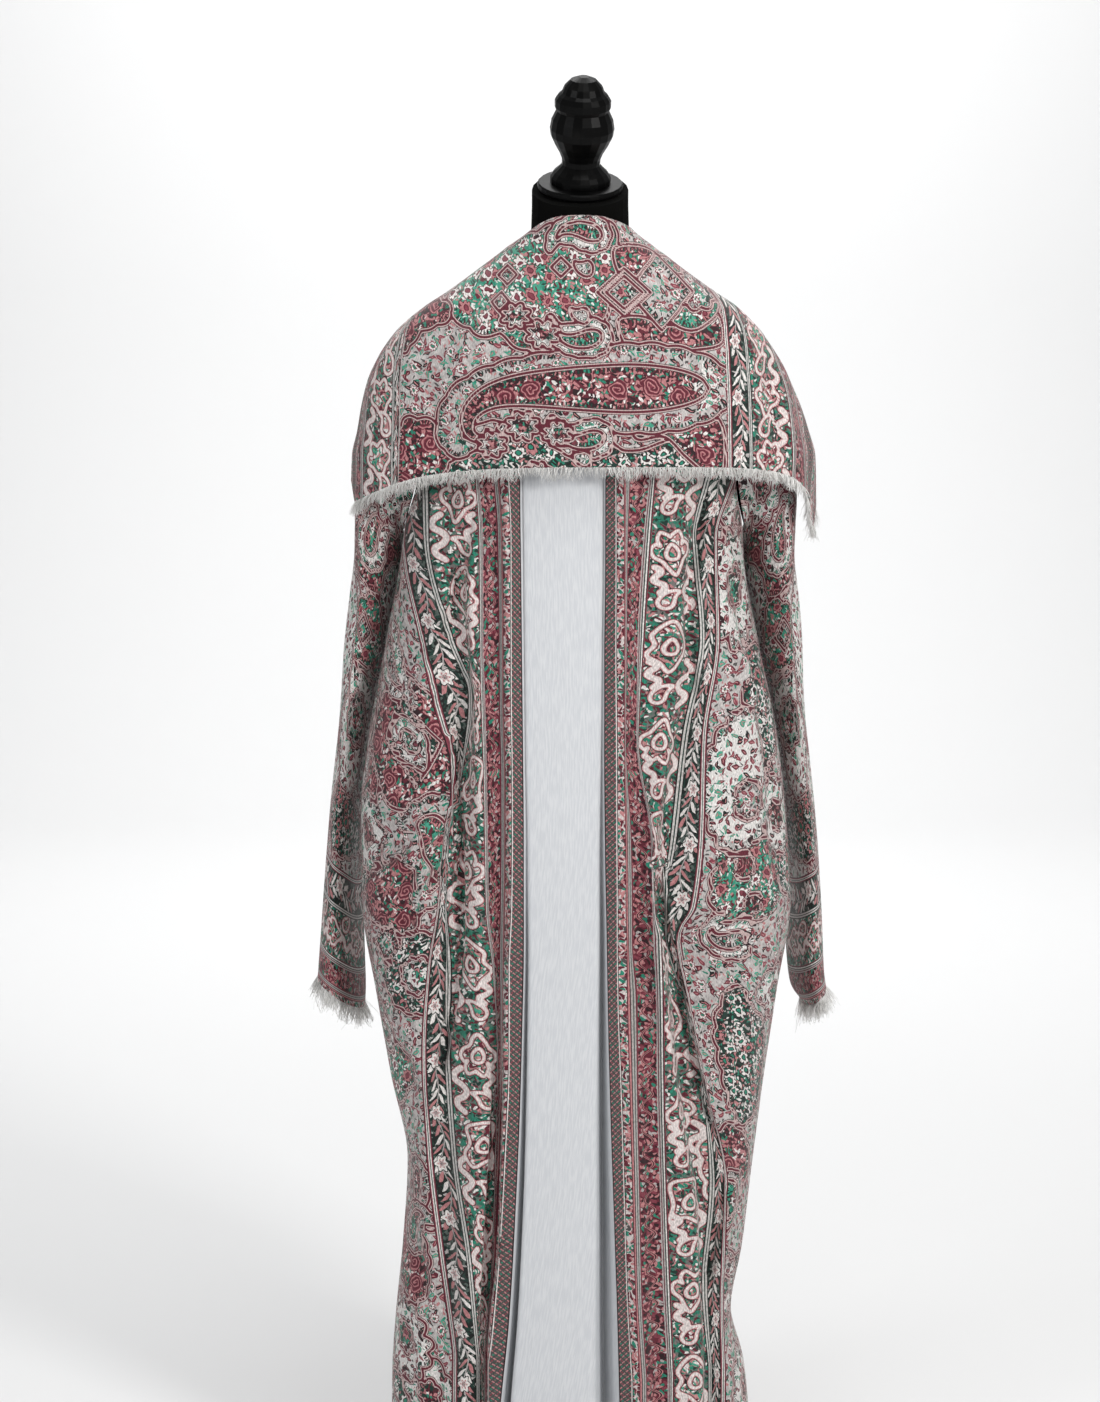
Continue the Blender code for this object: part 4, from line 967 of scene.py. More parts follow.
def shawl_paint():
    """The woven shawl: striped bands by the distance from its selvedge, then the outlined fields."""
    p = Paint("shawl_cloth", 0.66, sheen=0.22, sheen_tint=(1.0, 0.95, 0.92), specular=0.32)
    band, run, s, t = (p.attr(k) for k in ("band", "run", "s", "t"))
    edge, trace, inner = p.attr("edge"), p.attr("trace"), p.attr("inner")
    burgundy, teal, green, white = (p.attr(k) for k in ("burgundy", "teal", "green", "white"))

    # The small motifs are drawn on wavering coordinates, so that no row of them is quite straight
    drift = p.noise(p.vector(s / 11.0, t / 11.0), 1.0, 1.0, flat=True)
    ws, wt = s + (drift - 0.5) * 9.0, t + (drift - 0.5) * 7.0
    one, one_pick = leaf_marks(p, ws, wt, SMALL_MARKS[0])
    two, two_pick = leaf_marks(p, ws + 40.0, wt + 17.0, SMALL_MARKS[1])
    mark, mark_pick = one.math("MINIMUM", two), one_pick + (two < one) * (two_pick - one_pick)
    large, large_pick = leaf_marks(p, ws, wt + 71.0, LARGE_MARKS)
    large_tone = p.tones(large_pick, ((0.0, BURGUNDY), (0.3, ROSE), (0.5, INK), (0.72, MINT)))
    bloom, angle, bloom_pick = flower_heads(p, ws, wt, BLOOMS, 0.75)
    petal = (angle * PETALS + bloom_pick * 9.0).math("COSINE")
    whorl, turn, whorl_pick = flower_heads(p, ws, wt, WHORLS, 0.55)

    def flecked(ground, marks, amount=0.34):
        """A ground with small marks, whose colours each run from their own random number on."""
        return p.mix(mark < amount, ground, p.tones(mark_pick, marks))

    def rings(ground, at, stops, end):
        """Flat rings over a ground: each entry is a start and a colour, and the last one ends at end."""
        return p.mix(at < end, ground, p.tones(at, stops, 0.0, end))

    def flowers(ground, petals, rim, heart, size):
        """Flower heads over a ground; size is their radius."""
        reach = petal * (0.22 * size) + size
        ground = p.mix(bloom < reach + 1.3, ground, rim)
        ground = p.mix(bloom < reach, ground, petals)
        ground = p.mix(bloom < size * 0.55, ground, rim)
        return p.mix(bloom < size * 0.36, ground, heart)

    def open_ground(ground, amount):
        """A pale ground with sparse larger marks."""
        ground = p.mix((one < amount) * (one_pick > 0.3), ground,
                       p.tones(one_pick, ((0.0, SALMON), (0.55, TEAL), (0.72, GREY))))
        ground = p.mix(large < 0.27, ground, large_tone)
        return p.mix(large < 0.07, ground, SALMON)

    plain = open_ground(p.mix(drift.soft(0.3, 0.7), SILVER, ASH), 0.25)
    fields = flowers(plain, PEARL, ROSE, TEAL, 3.8)
    fields = p.mix(bloom_pick > 0.4, plain, fields)
    fields = p.mix(white < 0.0, fields, open_ground((0.66, 0.635, 0.615), 0.15))

    swirl = (whorl / 4.6 + turn / TURN) % 1.0
    wine = p.mix(swirl < 0.46, BURGUNDY, p.mix(swirl < 0.16, SALMON, ROSE))
    wine = p.mix((whorl < 11.0) * (whorl_pick > 0.3), flecked(
        BURGUNDY, ((0.0, SALMON), (0.4, TEAL), (0.55, PEARL), (0.7, WINE)), 0.36), wine)
    fields = p.mix(burgundy < 0.0, fields, wine)

    leafy = flecked(p.mix(drift.soft(0.42, 0.6), TEAL, MINT),
                    ((0.0, PEARL), (0.25, SALMON), (0.42, PINE), (0.62, BURGUNDY), (0.85, MINT)), 0.27)
    leafy = flowers(leafy, p.mix(bloom_pick > 0.5, SALMON, PEARL), BURGUNDY, ROSE, 6.2)
    fields = p.mix(teal < 0.0, fields, leafy)

    dark = flecked(PINE, ((0.0, PEARL), (0.22, SALMON), (0.44, TEAL), (0.62, INK), (0.85, SILVER)), 0.30)
    dark = flowers(dark, p.mix(bloom_pick > 0.45, SALMON, PEARL), WINE, TEAL, 6.2)
    fields = p.mix(green < 0.0, fields, dark)

    def border_ground():
        """The wide border's ground, on which the large outlined motifs lie."""
        # The grey of this ground is partly the cloth's own dark tone and partly painted shade: it is
        # darkened further to stand in for the shade of the folds over the border
        ground = p.mix(drift.soft(0.4, 0.6), (0.15, 0.14, 0.132), (0.02, 0.15, 0.10))
        ground = flecked(ground, BORDER_MARKS, 0.33)
        ground = p.mix(inner > 0.5, ground, flecked(
            (0.46, 0.21, 0.21), ((0.0, PEARL), (0.3, TEAL), (0.55, BURGUNDY), (0.8, MINT)), 0.34))
        return rings(ground, edge,
                     ((0.0, (0.68, 0.61, 0.59)), (1.5, (0.46, 0.20, 0.205)), (2.3, WINE)), 3.0)

    def vine_ground():
        """Leaves on both sides of a wavy stem, and a white flower now and then."""
        stem = band - 132.5 - run.wave(VINE, 4.0)
        away = abs(stem)
        step = run + (stem > 0.0) * (VINE_LEAF / 2) - away
        leaf = (abs((step % VINE_LEAF) - VINE_LEAF / 2)
                < (away / VINE_HALF * math.pi).math("SINE") * 3.3 + (drift - 0.5) * 3.0)
        tone = p.mix(((step / VINE_LEAF).math("FLOOR") * 0.37 % 1.0) < 0.5, PEARL, SALMON)
        ground = flecked(PINE, ((0.0, MOSS), (0.3, INK), (0.5, SILVER), (0.6, INK)), 0.36)
        ground = p.mix(leaf * (away < VINE_HALF), ground, tone)
        ground = p.mix(away < 0.8, ground, SILVER)
        up = (run % VINE) - 15.0
        away = (stem * stem + up * up).math("SQRT")
        petal = (up.math("ARCTAN2", stem) * 6.0).math("COSINE") * 1.6
        return rings(ground, away - petal,
                     ((0.0, WINE), (1.5, PEARL), (2.6, SALMON), (4.2, PEARL), (8.2, INK)), 9.4)

    def scroll_ground():
        """The burgundy band's wavy scroll."""
        line = abs(band - 43.0 - run.wave(SCROLL, 6.0))
        ground = flecked(BURGUNDY, SCROLL_MARKS, 0.38)
        ground = p.mix(line < 1.5, ground, SALMON)
        return p.mix(line < 0.6, ground, WINE)

    def lattice_ground():
        """Small diamonds beside the selvedge."""
        first, second = (way % LATTICE - LATTICE / 2 for way in (band + run, band - run))
        ground = p.mix(abs(first) < 0.85, GREY, SALMON)
        ground = p.mix(abs(second) < 1.0, ground, (0.05, 0.06, 0.055))
        heart = abs(first) + abs(second) > 5.0
        return p.mix(heart, ground, p.mix((run / (2 * LATTICE) % 1.0) < 0.5, TEAL, ROSE))

    def leaf_ground():
        """Small leaves on white next to the lattice."""
        return flecked((0.56, 0.50, 0.485), LEAF_MARKS, 0.38)

    def outlined(colour):
        """Fine lines along the motifs' outlines, and ticks inside them."""
        tick = ((trace / 4.6) % 1.0 < 0.42) * (inner > 0.5) * edge.within(3.6, 7.6)
        colour = p.mix(tick, colour, p.mix((trace / 9.2 % 1.0) < 0.5, WINE, PINE))
        return rings(colour, edge, ((0.0, BURGUNDY), (1.3, (0.50, 0.375, 0.36)), (2.5, WINE)), 3.2)

    def stripes(name):
        return p.tones(band, STRIPES[name], STRIPES[name][0][0], STRIPES_SPAN)

    # From the field towards the selvedge: each band's tone lies up to its own distance from it
    colour = outlined(fields)
    for end, tone in ((156.0, stripes("pink")), (147.0, vine_ground()), (118.0, stripes("double")),
                      (112.0, border_ground()), (62.0, stripes("second")), (54.0, scroll_ground()),
                      (32.0, stripes("first")), (23.0, BURGUNDY), (21.9, leaf_ground()), (14.0, WINE),
                      (13.2, PEARL), (12.2, lattice_ground()), (1.1, WINE)):
        colour = p.mix(band < end, colour, tone)

    weave = t.wave(WEFT, 0.5) + s.wave(WARP, 0.5)
    thread = p.noise(p.vector(s / 1.1, t / 3.4), 1.0, 1.0, flat=True)
    colour = p.node("ShaderNodeHueSaturation", {"Color": colour, "Value": thread * 1.25 + 0.385})
    return p.finish(colour, weave, 0.0003, 0.5)


def crepe_paint():
    p = Paint("crepe", 0.8, sheen=0.15)
    s, t = p.attr("s"), p.attr("t")
    crinkle = p.noise(p.vector(s * 0.55, t * 0.05), 1.0, 3.0, flat=True)
    colour = p.mix(crinkle.soft(0.35, 0.7), (0.585, 0.60, 0.625), (0.66, 0.672, 0.69))
    return p.finish(colour, crinkle, 0.0006, 0.4)


def yarn_paint():
    p = Paint("fringe_yarn", 0.85, sheen=0.3)
    return p.finish(p.mix(p.attr("shade").soft(0.0, 0.7), (0.52, 0.505, 0.48), (0.95, 0.94, 0.92)))


def jersey_paint():
    p = Paint("form_jersey", 0.98, sheen=0.0, specular=0.04)
    nap = p.noise(p.place(), 1800.0, 3.0)
    return p.finish(p.mix(nap, (0.0015, 0.0015, 0.0015), (0.006, 0.006, 0.0055)), nap, 0.0008, 0.8)


def wood_paint():
    p = Paint("black_wood", 0.33, specular=0.1)
    at = p.place()
    grain = p.noise(p.node("ShaderNodeMapping", {"Vector": at, "Scale": (60.0, 60.0, 400.0)}), 1.0, 3.0)
    worn = p.noise(at, 55.0, 4.0).soft(0.5, 0.8)
    return p.finish(p.mix(worn, (0.0015, 0.0015, 0.0015), (0.005, 0.0048, 0.0045)), grain, 0.0003, 0.25)


# Pieces


def dense_heights(top_rows, low_rows):
    """Row heights: wider spaced over the shoulders, under the collar, and fine below it."""
    marks = (1436, 1424, 1408, 1392, 1374, 1352, 1322, 1284, 1240, 1205)
    top = np.interp(np.linspace(0, len(marks) - 1, top_rows), np.arange(len(marks)), marks)
    return np.concatenate([top[:-1], np.linspace(marks[-1], HEM_HEIGHT, low_rows)])


def patterned(name, grid, band, s, t, closed, outward, paint, draw, run=None):
    """A wall of shawl cloth with its woven pattern, and its flat size. run counts along the bands."""
    pattern = Pattern(s, t)
    draw(pattern)
    values = {"band": band, "run": t if run is None else run, "s": s, "t": t, **pattern.fields}
    return shell(name, grid, CLOTH, closed, outward, values, paint), cut_size(grid, closed)


def finder(grid, s, t):
    """Turns a place seen on the back, x and height in mm, into the cloth's own coordinates there."""
    def find(x, height):
        away = np.hypot(grid[..., 0] - x, grid[..., 2] - height)
        k = np.unravel_index(np.argmin(away), away.shape)
        return float(s[k]), float(t[k])
    return find


def make_back(side, folds, table, creases, paint, draw):
    outward = -1 if side == "left" else 1
    where = np.linspace(0, len(folds), BACK_COLUMNS)
    grid = np.array([panel_row(h, folds, FOLD_HEIGHTS, side, where) for h in dense_heights(*BACK_ROWS)])
    normals = grid_normals(grid, False, outward)
    grid = crease(drape(grid, normals, BACK_DRAPE[side], outward), normals, creases)
    band, t = bands_from_table(grid, table), CROWN_HEIGHT - grid[..., 2]
    find = finder(grid, band, t)
    return patterned("shawl_back_" + side, grid, band, band, t, False, outward, paint,
                     lambda pattern: draw(pattern, find))


def make_front(side, paint):
    outward = -1 if side == "right" else 1
    where = np.linspace(0, len(FRONT_FOLDS), FRONT_COLUMNS)
    grid = np.array([panel_row(h, FRONT_FOLDS, FRONT_FOLD_HEIGHTS, side, where, front=True)
                     for h in dense_heights(*FRONT_ROWS)])
    grid = drape(grid, grid_normals(grid, False, outward), FRONT_DRAPE, 3.0 + outward)
    band, t = arc_along(grid), CROWN_HEIGHT - grid[..., 2]
    return patterned("shawl_front_" + side, grid, band, band, t, False, outward, paint,
                     lambda pattern: draw_front(side, pattern))


def make_inset(paint):
    grid = np.array([inset_row(h, INSET_COLUMNS) for h in dense_heights(*INSET_ROWS)])
    values = {"s": arc_along(grid), "t": CROWN_HEIGHT - grid[..., 2]}
    return shell("crepe_inset", grid, CREPE, False, 1, values, paint), cut_size(grid, False)


SLEEVE_HALF_ROUND = 165.0             # cloth from the sleeve's top line half round it
CUFF_YARNS, COLLAR_YARNS = (700, 21.0, 0.45), (2300, 12.0, 0.42)     # count, length and half thickness


def yarns(name, edge, down, out, count, length, thick, seed, paint, closed=False, lean=0.5, sag=0.3):
    """A frayed edge: many fine yarns that start in the cloth's edge, in uneven tufts."""
    rng = np.random.default_rng(seed)
    size = len(edge)
    at = (np.arange(count) + rng.random(count)) / count * (size if closed else size - 1)
    k = at.astype(int)
    share = (at - k)[:, None]
    after = (k + 1) % size

    def between(line):
        return line[k % size] * (1 - share) + line[after] * share

    root, fall, away = between(edge), between(down), between(out)
    along = np.cross(fall, away)
    tuft = 0.5 * np.sin(at * 0.9 + 2.2 * np.sin(at * 0.23)) + 0.5 * np.sin(at * 0.37 + 1.0)
    reach = length * (0.78 + 0.26 * tuft + 0.42 * (rng.random(count) - 0.5))
    side = lean * (0.5 * np.sin(at * 0.31) + rng.standard_normal(count) * 0.45)
    front = 0.3 * rng.standard_normal(count) + 0.1
    curl = 0.6 * rng.standard_normal(count)
    rings, corners = 5, 3
    points = np.empty((count, rings, corners, 3))
    turn = circle(corners)
    for r in range(rings):
        part = r / (rings - 1)
        line = (root - fall * 1.2 + fall * (part * reach)[:, None]
                + along * ((side * part + curl * np.sin(3.1 * part)) * reach * 0.42)[:, None]
                + away * ((front * part) * reach)[:, None])
        line[:, 2] -= sag * reach * part ** 2
        wide = thick * (1 - 0.6 * part)
        for c, angle in enumerate(turn):
            points[:, r, c] = line + along * wide * math.cos(angle) + away * wide * math.sin(angle)
    base = np.arange(count)[:, None, None] * rings * corners
    r, c = np.meshgrid(np.arange(rings - 1), np.arange(corners), indexing="ij")
    a, b = r * corners + c, r * corners + (c + 1) % corners
    quads = np.stack([a, b, b + corners, a + corners], axis=-1).reshape(1, -1, 4) + base
    first = base[:, 0] + np.array([[2, 1, 0]])
    last = base[:, 0] + (rings - 1) * corners + np.array([[0, 1, 2]])
    made = add_mesh(name, (points.reshape(-1, 3) * MM).tolist(),
                    quads.reshape(-1, 4).tolist() + first.tolist() + last.tolist(), paint)
    add_field(made, "shade", np.repeat(rng.random(count), rings * corners))
    return made


def edge_of(grid, normals):
    """The lower edge's points, the way on down from them and the outward way."""
    down = grid[-1] - grid[-4]
    return grid[-1], down / np.linalg.norm(down, axis=1, keepdims=True), normals[-1]


def make_sleeve(side, table, paint, yarn):
    grid = sleeve_grid(table, side, SLEEVE_RINGS, SLEEVE_POINTS)
    outward = -1 if side == "right" else 1
    grid = soft_folds(grid, grid_normals(grid, True, outward), SLEEVE_FOLDS)
    down = np.concatenate([np.zeros((1, SLEEVE_POINTS)),
                           np.cumsum(np.linalg.norm(np.diff(grid, axis=0), axis=2), axis=0)])
    t = down[-1] - down
    band = np.interp(t, *SLEEVE_BANDS) + np.maximum(t - SLEEVE_BANDS[0][-1], 0)
    turn = (circle(SLEEVE_POINTS) + math.pi) % TURN - math.pi
    s = np.tile(SLEEVE_HALF_ROUND * turn / math.pi, (SLEEVE_RINGS, 1))
    edge, fall, out = edge_of(grid, grid_normals(grid, True, outward))
    fringe = yarns("fringe_yarns_cuff_" + side, edge - out * CLOTH / 2, 0.4 * fall - [0, 0, 0.6], out,
                   *CUFF_YARNS, 5 if side == "left" else 6, yarn, closed=True, lean=0.35, sag=0.1)
    return fringe, *patterned("shawl_sleeve_" + side, grid, band, s, t, True, outward, paint,
                              lambda pattern: draw_sleeve(side, pattern), run=s)


def soft_folds(grid, normals, amount):
    """Slack folds that run round a sleeve at a slant, stronger at the elbow."""
    rings, points = grid.shape[:2]
    down = np.linspace(0, 1, rings)[:, None]
    turn = circle(points)[None, :]
    strong = np.exp(-((down - 0.5) / 0.2) ** 2) + 0.5 * np.exp(-((down - 0.22) / 0.08) ** 2)
    fold = np.sin(46 * down + 1.3 * np.sin(turn) + 2.1 * np.sin(2 * turn + 5 * down))
    fold = np.sign(fold) * np.abs(fold) ** 1.4
    side = 0.35 + 0.65 * np.cos(turn - 0.8 * math.pi - 3 * down) ** 2
    long = 1.6 * np.sin(3 * turn + 4 * down) * np.clip(down * 4, 0, 1)
    rim = np.clip((1 - down) * 8, 0, 1) * np.clip(down * 8, 0, 1)
    return grid + normals * ((amount * fold * strong * side + long) * rim)[..., None]


def make_collar(paint, yarn):
    degrees = np.linspace(COLLAR_ROUND["degrees"][0], COLLAR_ROUND["degrees"][-1], COLLAR_COLUMNS)
    grid = collar_grid(degrees, COLLAR_ROWS)
    grid = crease(grid, grid_normals(grid, False, 1), COLLAR_CREASES)
    arc = arc_along(grid)
    arc = arc - np.array([np.interp(0.0, degrees, row) for row in arc])[:, None]
    right, left = COLLAR_BANDS["right"][-1], COLLAR_BANDS["left"][-1]
    s = np.where(arc > right, 2 * right - arc, arc)
    s = np.where(s < -left, -2 * left - s, s)
    band = np.where(s > 0, np.interp(s, COLLAR_BANDS["right"], BAND_ENDS[::-1], left=NO_BAND),
                    np.interp(-s, COLLAR_BANDS["left"], BAND_ENDS[::-1], left=NO_BAND))
    back = (degrees > COLLAR_FRINGE[0]) & (degrees < COLLAR_FRINGE[1])
    edge, fall, out = (line[back] for line in edge_of(grid, grid_normals(grid, False, 1)))
    fringe = yarns("fringe_yarns_collar", edge - out * CLOTH / 2, fall, out, *COLLAR_YARNS, 7, yarn,
                   lean=1.2)
    return fringe, *patterned("shawl_collar", grid, band, s, CROWN_HEIGHT - grid[..., 2], False, 1, paint,
                              draw_collar)


def draw_sleeve(side, pattern):
    flip = 1 if side == "left" else -1
    keep = [(s, t, 62) for s, t in ((78, 262), (84, 372), (70, 470), (80, 560))]
    scatter(pattern, (-165, 168), (165, 760), 11 if side == "left" else 12, keep,
            fills=("white", "teal", "white", "burgundy", "white"))
    pattern.ground("green", (80, 205), 62, 38, 2.0)
    pattern.ground("white", (80, 318), 60, 70, 1.0, 15)
    pattern.ground("teal", (88, 430), 60, 40, 3.0)
    medal(pattern, (82, 330), 25, 30, 10, 9, None, "burgundy")
    steps(pattern, (74, 432), 18, 20)
    pattern.ground("white", (14, 400), 34, 96, 2.0, 15)
    pattern.ground("white", (20, 640), 36, 70, 2.0)
    pattern.ground("burgundy", (84, 540), 62, 66, 3.4)
    for s, t in ((140, 300), (136, 480), (140, 620), (-150, 420), (-150, 560)):
        pattern.ground("white", (s, t), 32, 60, t / 90)
    drop(pattern, (60, 500), 80, 104, 62, -flip, "white", "teal", scallops=13)
    medal(pattern, (92, 610), 34, 42, 0, 9, "white", "burgundy")
    for k in range(5):
        s = -130 + 66 * k
        pattern.lay(TULIP, (s, 76), 90 + 8 * math.sin(k), 0.95)
        pattern.lay(paisley(30, 15, 1.5, 2.0), (s + 20, 88), 20, 1.0, flip)
        ribbon(pattern, (s + 33, 68), 80, 0.7)


def draw_collar(pattern):
    """The collar's composition: a long lying paisley between a teal and a dark green flowered field."""
    for fill, scallops, bite, points in (
            ("teal", 15, 5.0, ((-150, 66), (-105, 40), (-60, 20), (0, 8), (36, 14), (44, 60), (30, 104),
                               (4, 128), (-30, 152), (-62, 148), (-84, 132), (-118, 128), (-150, 104))),
            ("burgundy", 0, 0, ((38, 36), (78, 34), (100, 52), (70, 70), (44, 68))),
            ("burgundy", 0, 0, ((40, 118), (66, 112), (104, 122), (152, 100), (162, 140), (120, 150),
                                (60, 156))),
            ("burgundy", 9, 3.0, ((-205, 96), (-168, 92), (-150, 104), (-158, 118), (-186, 128),
                                  (-206, 150))),
            ("green", 15, 4.0, ((-152, 300), (-150, 268), (-118, 262), (-96, 246), (-80, 222), (-54, 206),
                                (-14, 204), (12, 220), (30, 250), (66, 262), (104, 244), (132, 262),
                                (140, 300))),
            ("burgundy", 0, 0, ((52, 214), (90, 208), (140, 214), (160, 240), (154, 292), (118, 268),
                                (92, 244), (60, 246))),
            ("burgundy", 11, 3.5, ((-206, 232), (-176, 226), (-150, 238), (-128, 246), (-138, 262),
                                   (-170, 296), (-206, 300))),
            ("teal", 0, 0, ((80, 52), (122, 46), (160, 74), (158, 108), (124, 128), (92, 108)))):
        patch(pattern, points, fill, scallops, bite)
    medal(pattern, (134, 82), 26, 22, 0, 9, None)
    pattern.lay(diamond(40, 44), (90, 84))
    steps(pattern, (48, 86), 30, 27)
    pattern.lay(paisley(404, 96, 5.4, 9.0, 26, 2.6), (182, 191), 180, 1.0, -1)
    pattern.lay(paisley(330, 52, 4.6, 9.0), (148, 191), 180, 1.0, -1, "burgundy")
    for turn in (-58, 0, 58):
        pattern.lay(paisley(34, 15, 0.5, 2.0), (150, 191), 180 + turn, fill="white", outline=False)
    for s, t, turn, flip in ((34, 30, 205, -1), (34, 128, 160, 1), (36, 238, 160, 1)):
        drop(pattern, (s, t), turn, 86, 42, flip, "white", "teal", scallops=13, bite=1.6)
    for at in ((-84, 66), (-22, 58), (-90, 96)):
        steps(pattern, at, 11, 11)
    for at in ((14, 60), (10, 112), (12, 268)):
        pattern.lay(paisley(24, 18, 1.2, 2.0), at, 180, fill="white")
    for s, t, size in ((-72, 112, 15), (-42, 132, 17), (-98, 252, 15), (-26, 240, 15), (-64, 232, 17),
                       (-48, 284, 14)):
        pattern.lay(medallion(size, 0.86 * size, 8, 0.42), (s, t), fill="white")
        pattern.lay(medallion(0.42 * size, 0.4 * size, 5, 0.3), (s, t), fill="burgundy", outline=False)
    for k in range(4):
        t = 66 + 68 * k
        for middle, flip in ((220, 1), (-240, -1)):
            pattern.lay(TULIP, (middle - 4 * flip, t), 10 * flip, 1.0, -1)
            ribbon(pattern, (middle + 14 * flip, t + 32), 8, 0.75, flip)
            pattern.lay(paisley(30, 14, 1.5, 2.0), (middle - 12 * flip, t + 42), -80, 1.0, flip)


def draw_back_left(pattern, find):
    border(pattern, 107, 103.5)
    lobed, leaf, paisley_at, swirl, rhomb, second, low, lower, round_at = (find(x, z) for x, z in (
        (-186, 1011), (-193, 897), (-206, 812), (-213, 722), (-216, 665), (-184, 632), (-184, 416),
        (-196, 300), (-200, 200)))
    keep = [(*at, 66) for at in (lobed, leaf, paisley_at, swirl, rhomb, second, low, lower, round_at)]
    scatter(pattern, (156, 250), (420, PATTERN_END), 31, keep)
    s, t = leaf
    pattern.ground("burgundy", (s, t + 6), 66, 78, 1.0, 0, 0.0, 0.08)
    pattern.ground("burgundy", swirl, 50, 42, 2.0, 13, 10)
    pattern.ground("green", second, 44, 46, 0.5, 13, 10)
    drop(pattern, (s + 26, t - 142), 96, 118, 58, 1, "white", None, 1.2, scallops=11, bite=5.0)
    pattern.lay(diamond(38, 50), (s - 2, t), fill="green")
    pattern.lay(medallion(24, 27, 5, 0.14, 0.3), leaf, 20, fill="white")
    pattern.lay(medallion(11, 13, 5, 0.1), leaf, 20, fill="teal")
    drop(pattern, (paisley_at[0] - 26, paisley_at[1] - 22), 118, 142, 84, -1, None, "teal", 1.6,
         scallops=15, bite=3.5)
    steps(pattern, rhomb, 22, 24)
    medal(pattern, second, 22, 22, 0, 9)
    drop(pattern, low, 70, 96, 50, 1, None, "burgundy", scallops=15)
    pattern.ground("burgundy", lower, 44, 50, 2.5, 14, 10)
    drop(pattern, lower, 250, 90, 48, -1, None, "teal", scallops=13)
    medal(pattern, round_at, 44, 46, 0, 13)


def draw_back_right(pattern, find):
    border(pattern, 162, 104.7)
    first, shade, second, teal, third, dark, mixed, low = (find(x, z) for x, z in (
        (171, 1066), (199, 925), (178, 852), (192, 733), (170, 680), (189, 535), (166, 404), (168, 262)))
    keep = [(*at, 68) for at in (first, shade, second, teal, third, dark, mixed, low)]
    scatter(pattern, (156, 250), (420, PATTERN_END), 41, keep)
    pattern.ground("green", shade, 46, 72, 0.4)
    pattern.ground("green", dark, 40, 78, 1.4, 15)
    pattern.ground("teal", teal, 50, 58, 2.4, 14, bite=5.0)
    pattern.ground("burgundy", mixed, 46, 60, 2.9, rough=0.12)
    pattern.ground("green", low, 44, 50, 1.9, rough=0.12)
    medal(pattern, first, 46, 66, 0, 15)
    pattern.lay(medallion(50, 80, 17, 0.1), second, 4, fill="white")
    pattern.lay(medallion(21, 22, 9, 0.12), (second[0] + 10, second[1] + 22))
    for move in (-22, 22):
        medal(pattern, (teal[0] + 0.4 * move, teal[1] + move), 14, 14, 0, 8, "burgundy")
    drop(pattern, (third[0] + 30, third[1] + 2), 170, 84, 46, 1, "white", None, scallops=13)
    drop(pattern, mixed, 70, 80, 44, 1, None, "teal", scallops=13)
    steps(pattern, (mixed[0] - 24, mixed[1] - 46), 17, 18)
    medal(pattern, low, 30, 36, 0, 11)


def draw_front(side, pattern):
    border(pattern, 130, 104.0)
    scatter(pattern, (156, 20), (440, PATTERN_END), 51 if side == "left" else 61)


def main():
    shawl, crepe, yarn, jersey, wood = (
        make() for make in (shawl_paint, crepe_paint, yarn_paint, jersey_paint, wood_paint))
    pieces, cuts = {}, {}
    for side, folds, bands, creases, draw in (
            ("left", LEFT_FOLDS, LEFT_BANDS, LEFT_CREASES, draw_back_left),
            ("right", RIGHT_FOLDS, RIGHT_BANDS, RIGHT_CREASES, draw_back_right)):
        node = "back_" + side
        pieces[node], cuts[node] = make_back(side, folds, bands, creases, shawl, draw)
    pieces["back_inset"], cuts["back_inset"] = make_inset(crepe)
    for side in ("left", "right"):
        pieces["front_" + side], cuts["front_" + side] = make_front(side, shawl)
    for side, table in (("left", SLEEVE_LEFT), ("right", SLEEVE_RIGHT)):
        node = "sleeve_" + side
        pieces["fringe_cuff_" + side], pieces[node], cuts[node] = make_sleeve(side, table, shawl, yarn)
    pieces["fringe_collar"], pieces["collar"], cuts["collar"] = make_collar(shawl, yarn)
    for node, piece in pieces.items():
        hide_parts(node)
        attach(piece, "root")
    for node, finish in (("form_torso", jersey), ("form_cap", wood), ("form_finial", wood),
                         ("stand_pole", wood), ("stand_base", wood)):
        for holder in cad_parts[node].material_slots:
            holder.material = finish


# The studio, in metres

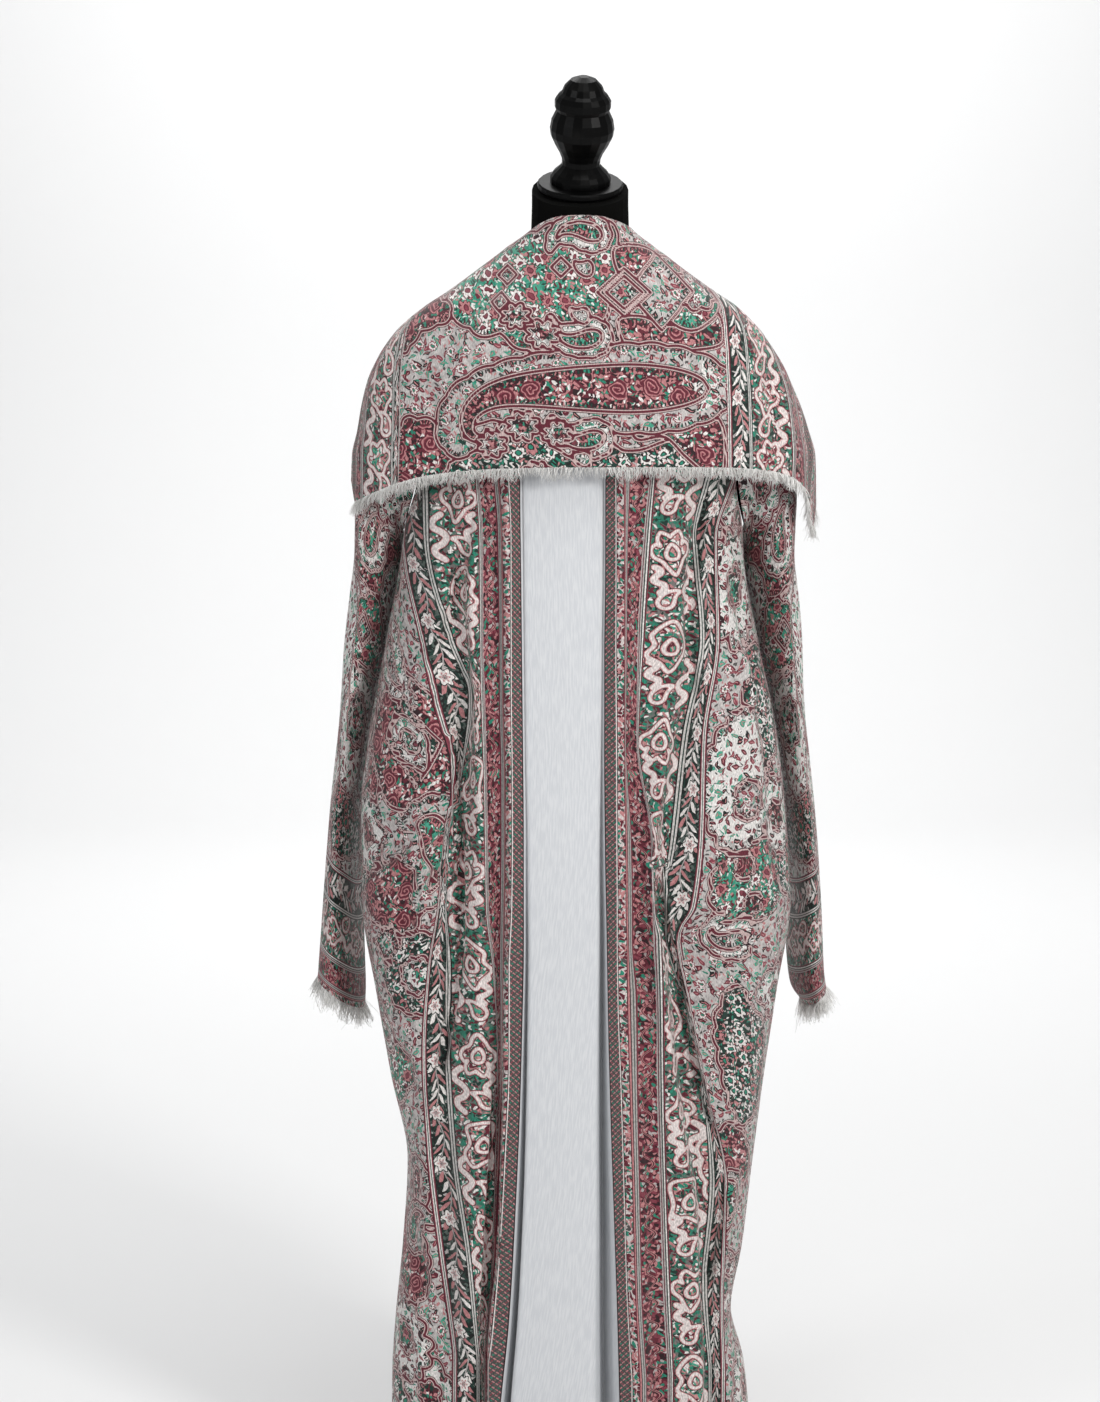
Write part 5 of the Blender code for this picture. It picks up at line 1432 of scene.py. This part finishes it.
SWEEP_SIDE, SWEEP_BACK, SWEEP_TOP, SWEEP_BEND = 9.0, 6.8, 8.0, 1.6
SWEEP_DROP = 0.0003       # keeps the floor clear of the stand's underside
SWEEP_COLOUR, SKY_COLOUR, SKY_STRENGTH = (0.81, 0.81, 0.81, 1.0), (0.93, 0.94, 0.95, 1.0), 0.33
LAMPS = (      # name, place, what it points at, size, power, colour
    ("key", (2.1, -2.7, 2.3), (0.0, 0.0, 1.0), 0.7, 74, (1.0, 0.99, 0.975)),
    ("fill", (-2.6, -2.2, 1.6), (0.0, 0.0, 0.9), 0.9, 24, (0.97, 0.98, 1.0)),
    ("top", (0.2, -0.8, 3.2), (0.0, 0.0, 1.0), 1.0, 15, (1.0, 1.0, 1.0)),
    ("backdrop", (0.0, 3.9, 4.2), (0.0, 6.8, 1.8), 3.0, 112, (1.0, 1.0, 1.0)),
    ("floor", (0.0, 1.9, 4.6), (0.0, 2.2, 0.0), 2.6, 112, (1.0, 1.0, 1.0)),
)
EYE, AIM = (-0.034, -3.4, 1.30), (-0.034, 0.0, 0.931)
CAMERA_FAR, PIXEL = 3.42, 0.00115      # distance to the form's axis, and what a photo pixel covers there
PHOTO_HEIGHT, SENSOR = 1402, 36.0      # pixels, and mm


def aimed(name, data, place, aim):
    """A lamp or camera at a place, turned towards a point."""
    made = bpy.data.objects.new(name, data)
    made.location = place
    made.rotation_euler = (Vector(aim) - Vector(place)).to_track_quat("-Z", "Y").to_euler()
    bpy.context.scene.collection.objects.link(made)
    return made


def studio():
    world = bpy.data.worlds.new("studio")
    bpy.context.scene.world = world
    world.use_nodes = True
    sky = world.node_tree.nodes["Background"].inputs
    sky["Color"].default_value, sky["Strength"].default_value = SKY_COLOUR, SKY_STRENGTH
    bpy.context.scene.view_settings.view_transform = "Standard"
    floor = Paint("floor", 0.9, specular=0.1)
    floor.shader.inputs["Base Color"].default_value = SWEEP_COLOUR
    line = [(-SWEEP_SIDE, 0.0),
            *((SWEEP_BACK - SWEEP_BEND * (1 - math.sin(a)), SWEEP_BEND * (1 - math.cos(a)))
              for a in np.linspace(0, math.pi / 2, 12)), (SWEEP_BACK, SWEEP_TOP)]
    points = [(x, y, z - SWEEP_DROP) for y, z in line for x in (-SWEEP_SIDE, SWEEP_SIDE)]
    faces = [(2 * k, 2 * k + 1, 2 * k + 3, 2 * k + 2) for k in range(len(line) - 1)]
    add_mesh("floor", points, faces, floor.material)
    for name, place, aim, size, power, tint in LAMPS:
        lamp = bpy.data.lights.new(name, "AREA")
        lamp.energy, lamp.size, lamp.color = power, size, tint
        aimed(name, lamp, place, aim)
    camera = bpy.data.cameras.new("camera")
    camera.sensor_width = camera.sensor_height = SENSOR
    camera.lens = SENSOR * CAMERA_FAR / (PIXEL * PHOTO_HEIGHT)
    bpy.context.scene.camera = aimed("camera", camera, EYE, AIM)


studio()
main()
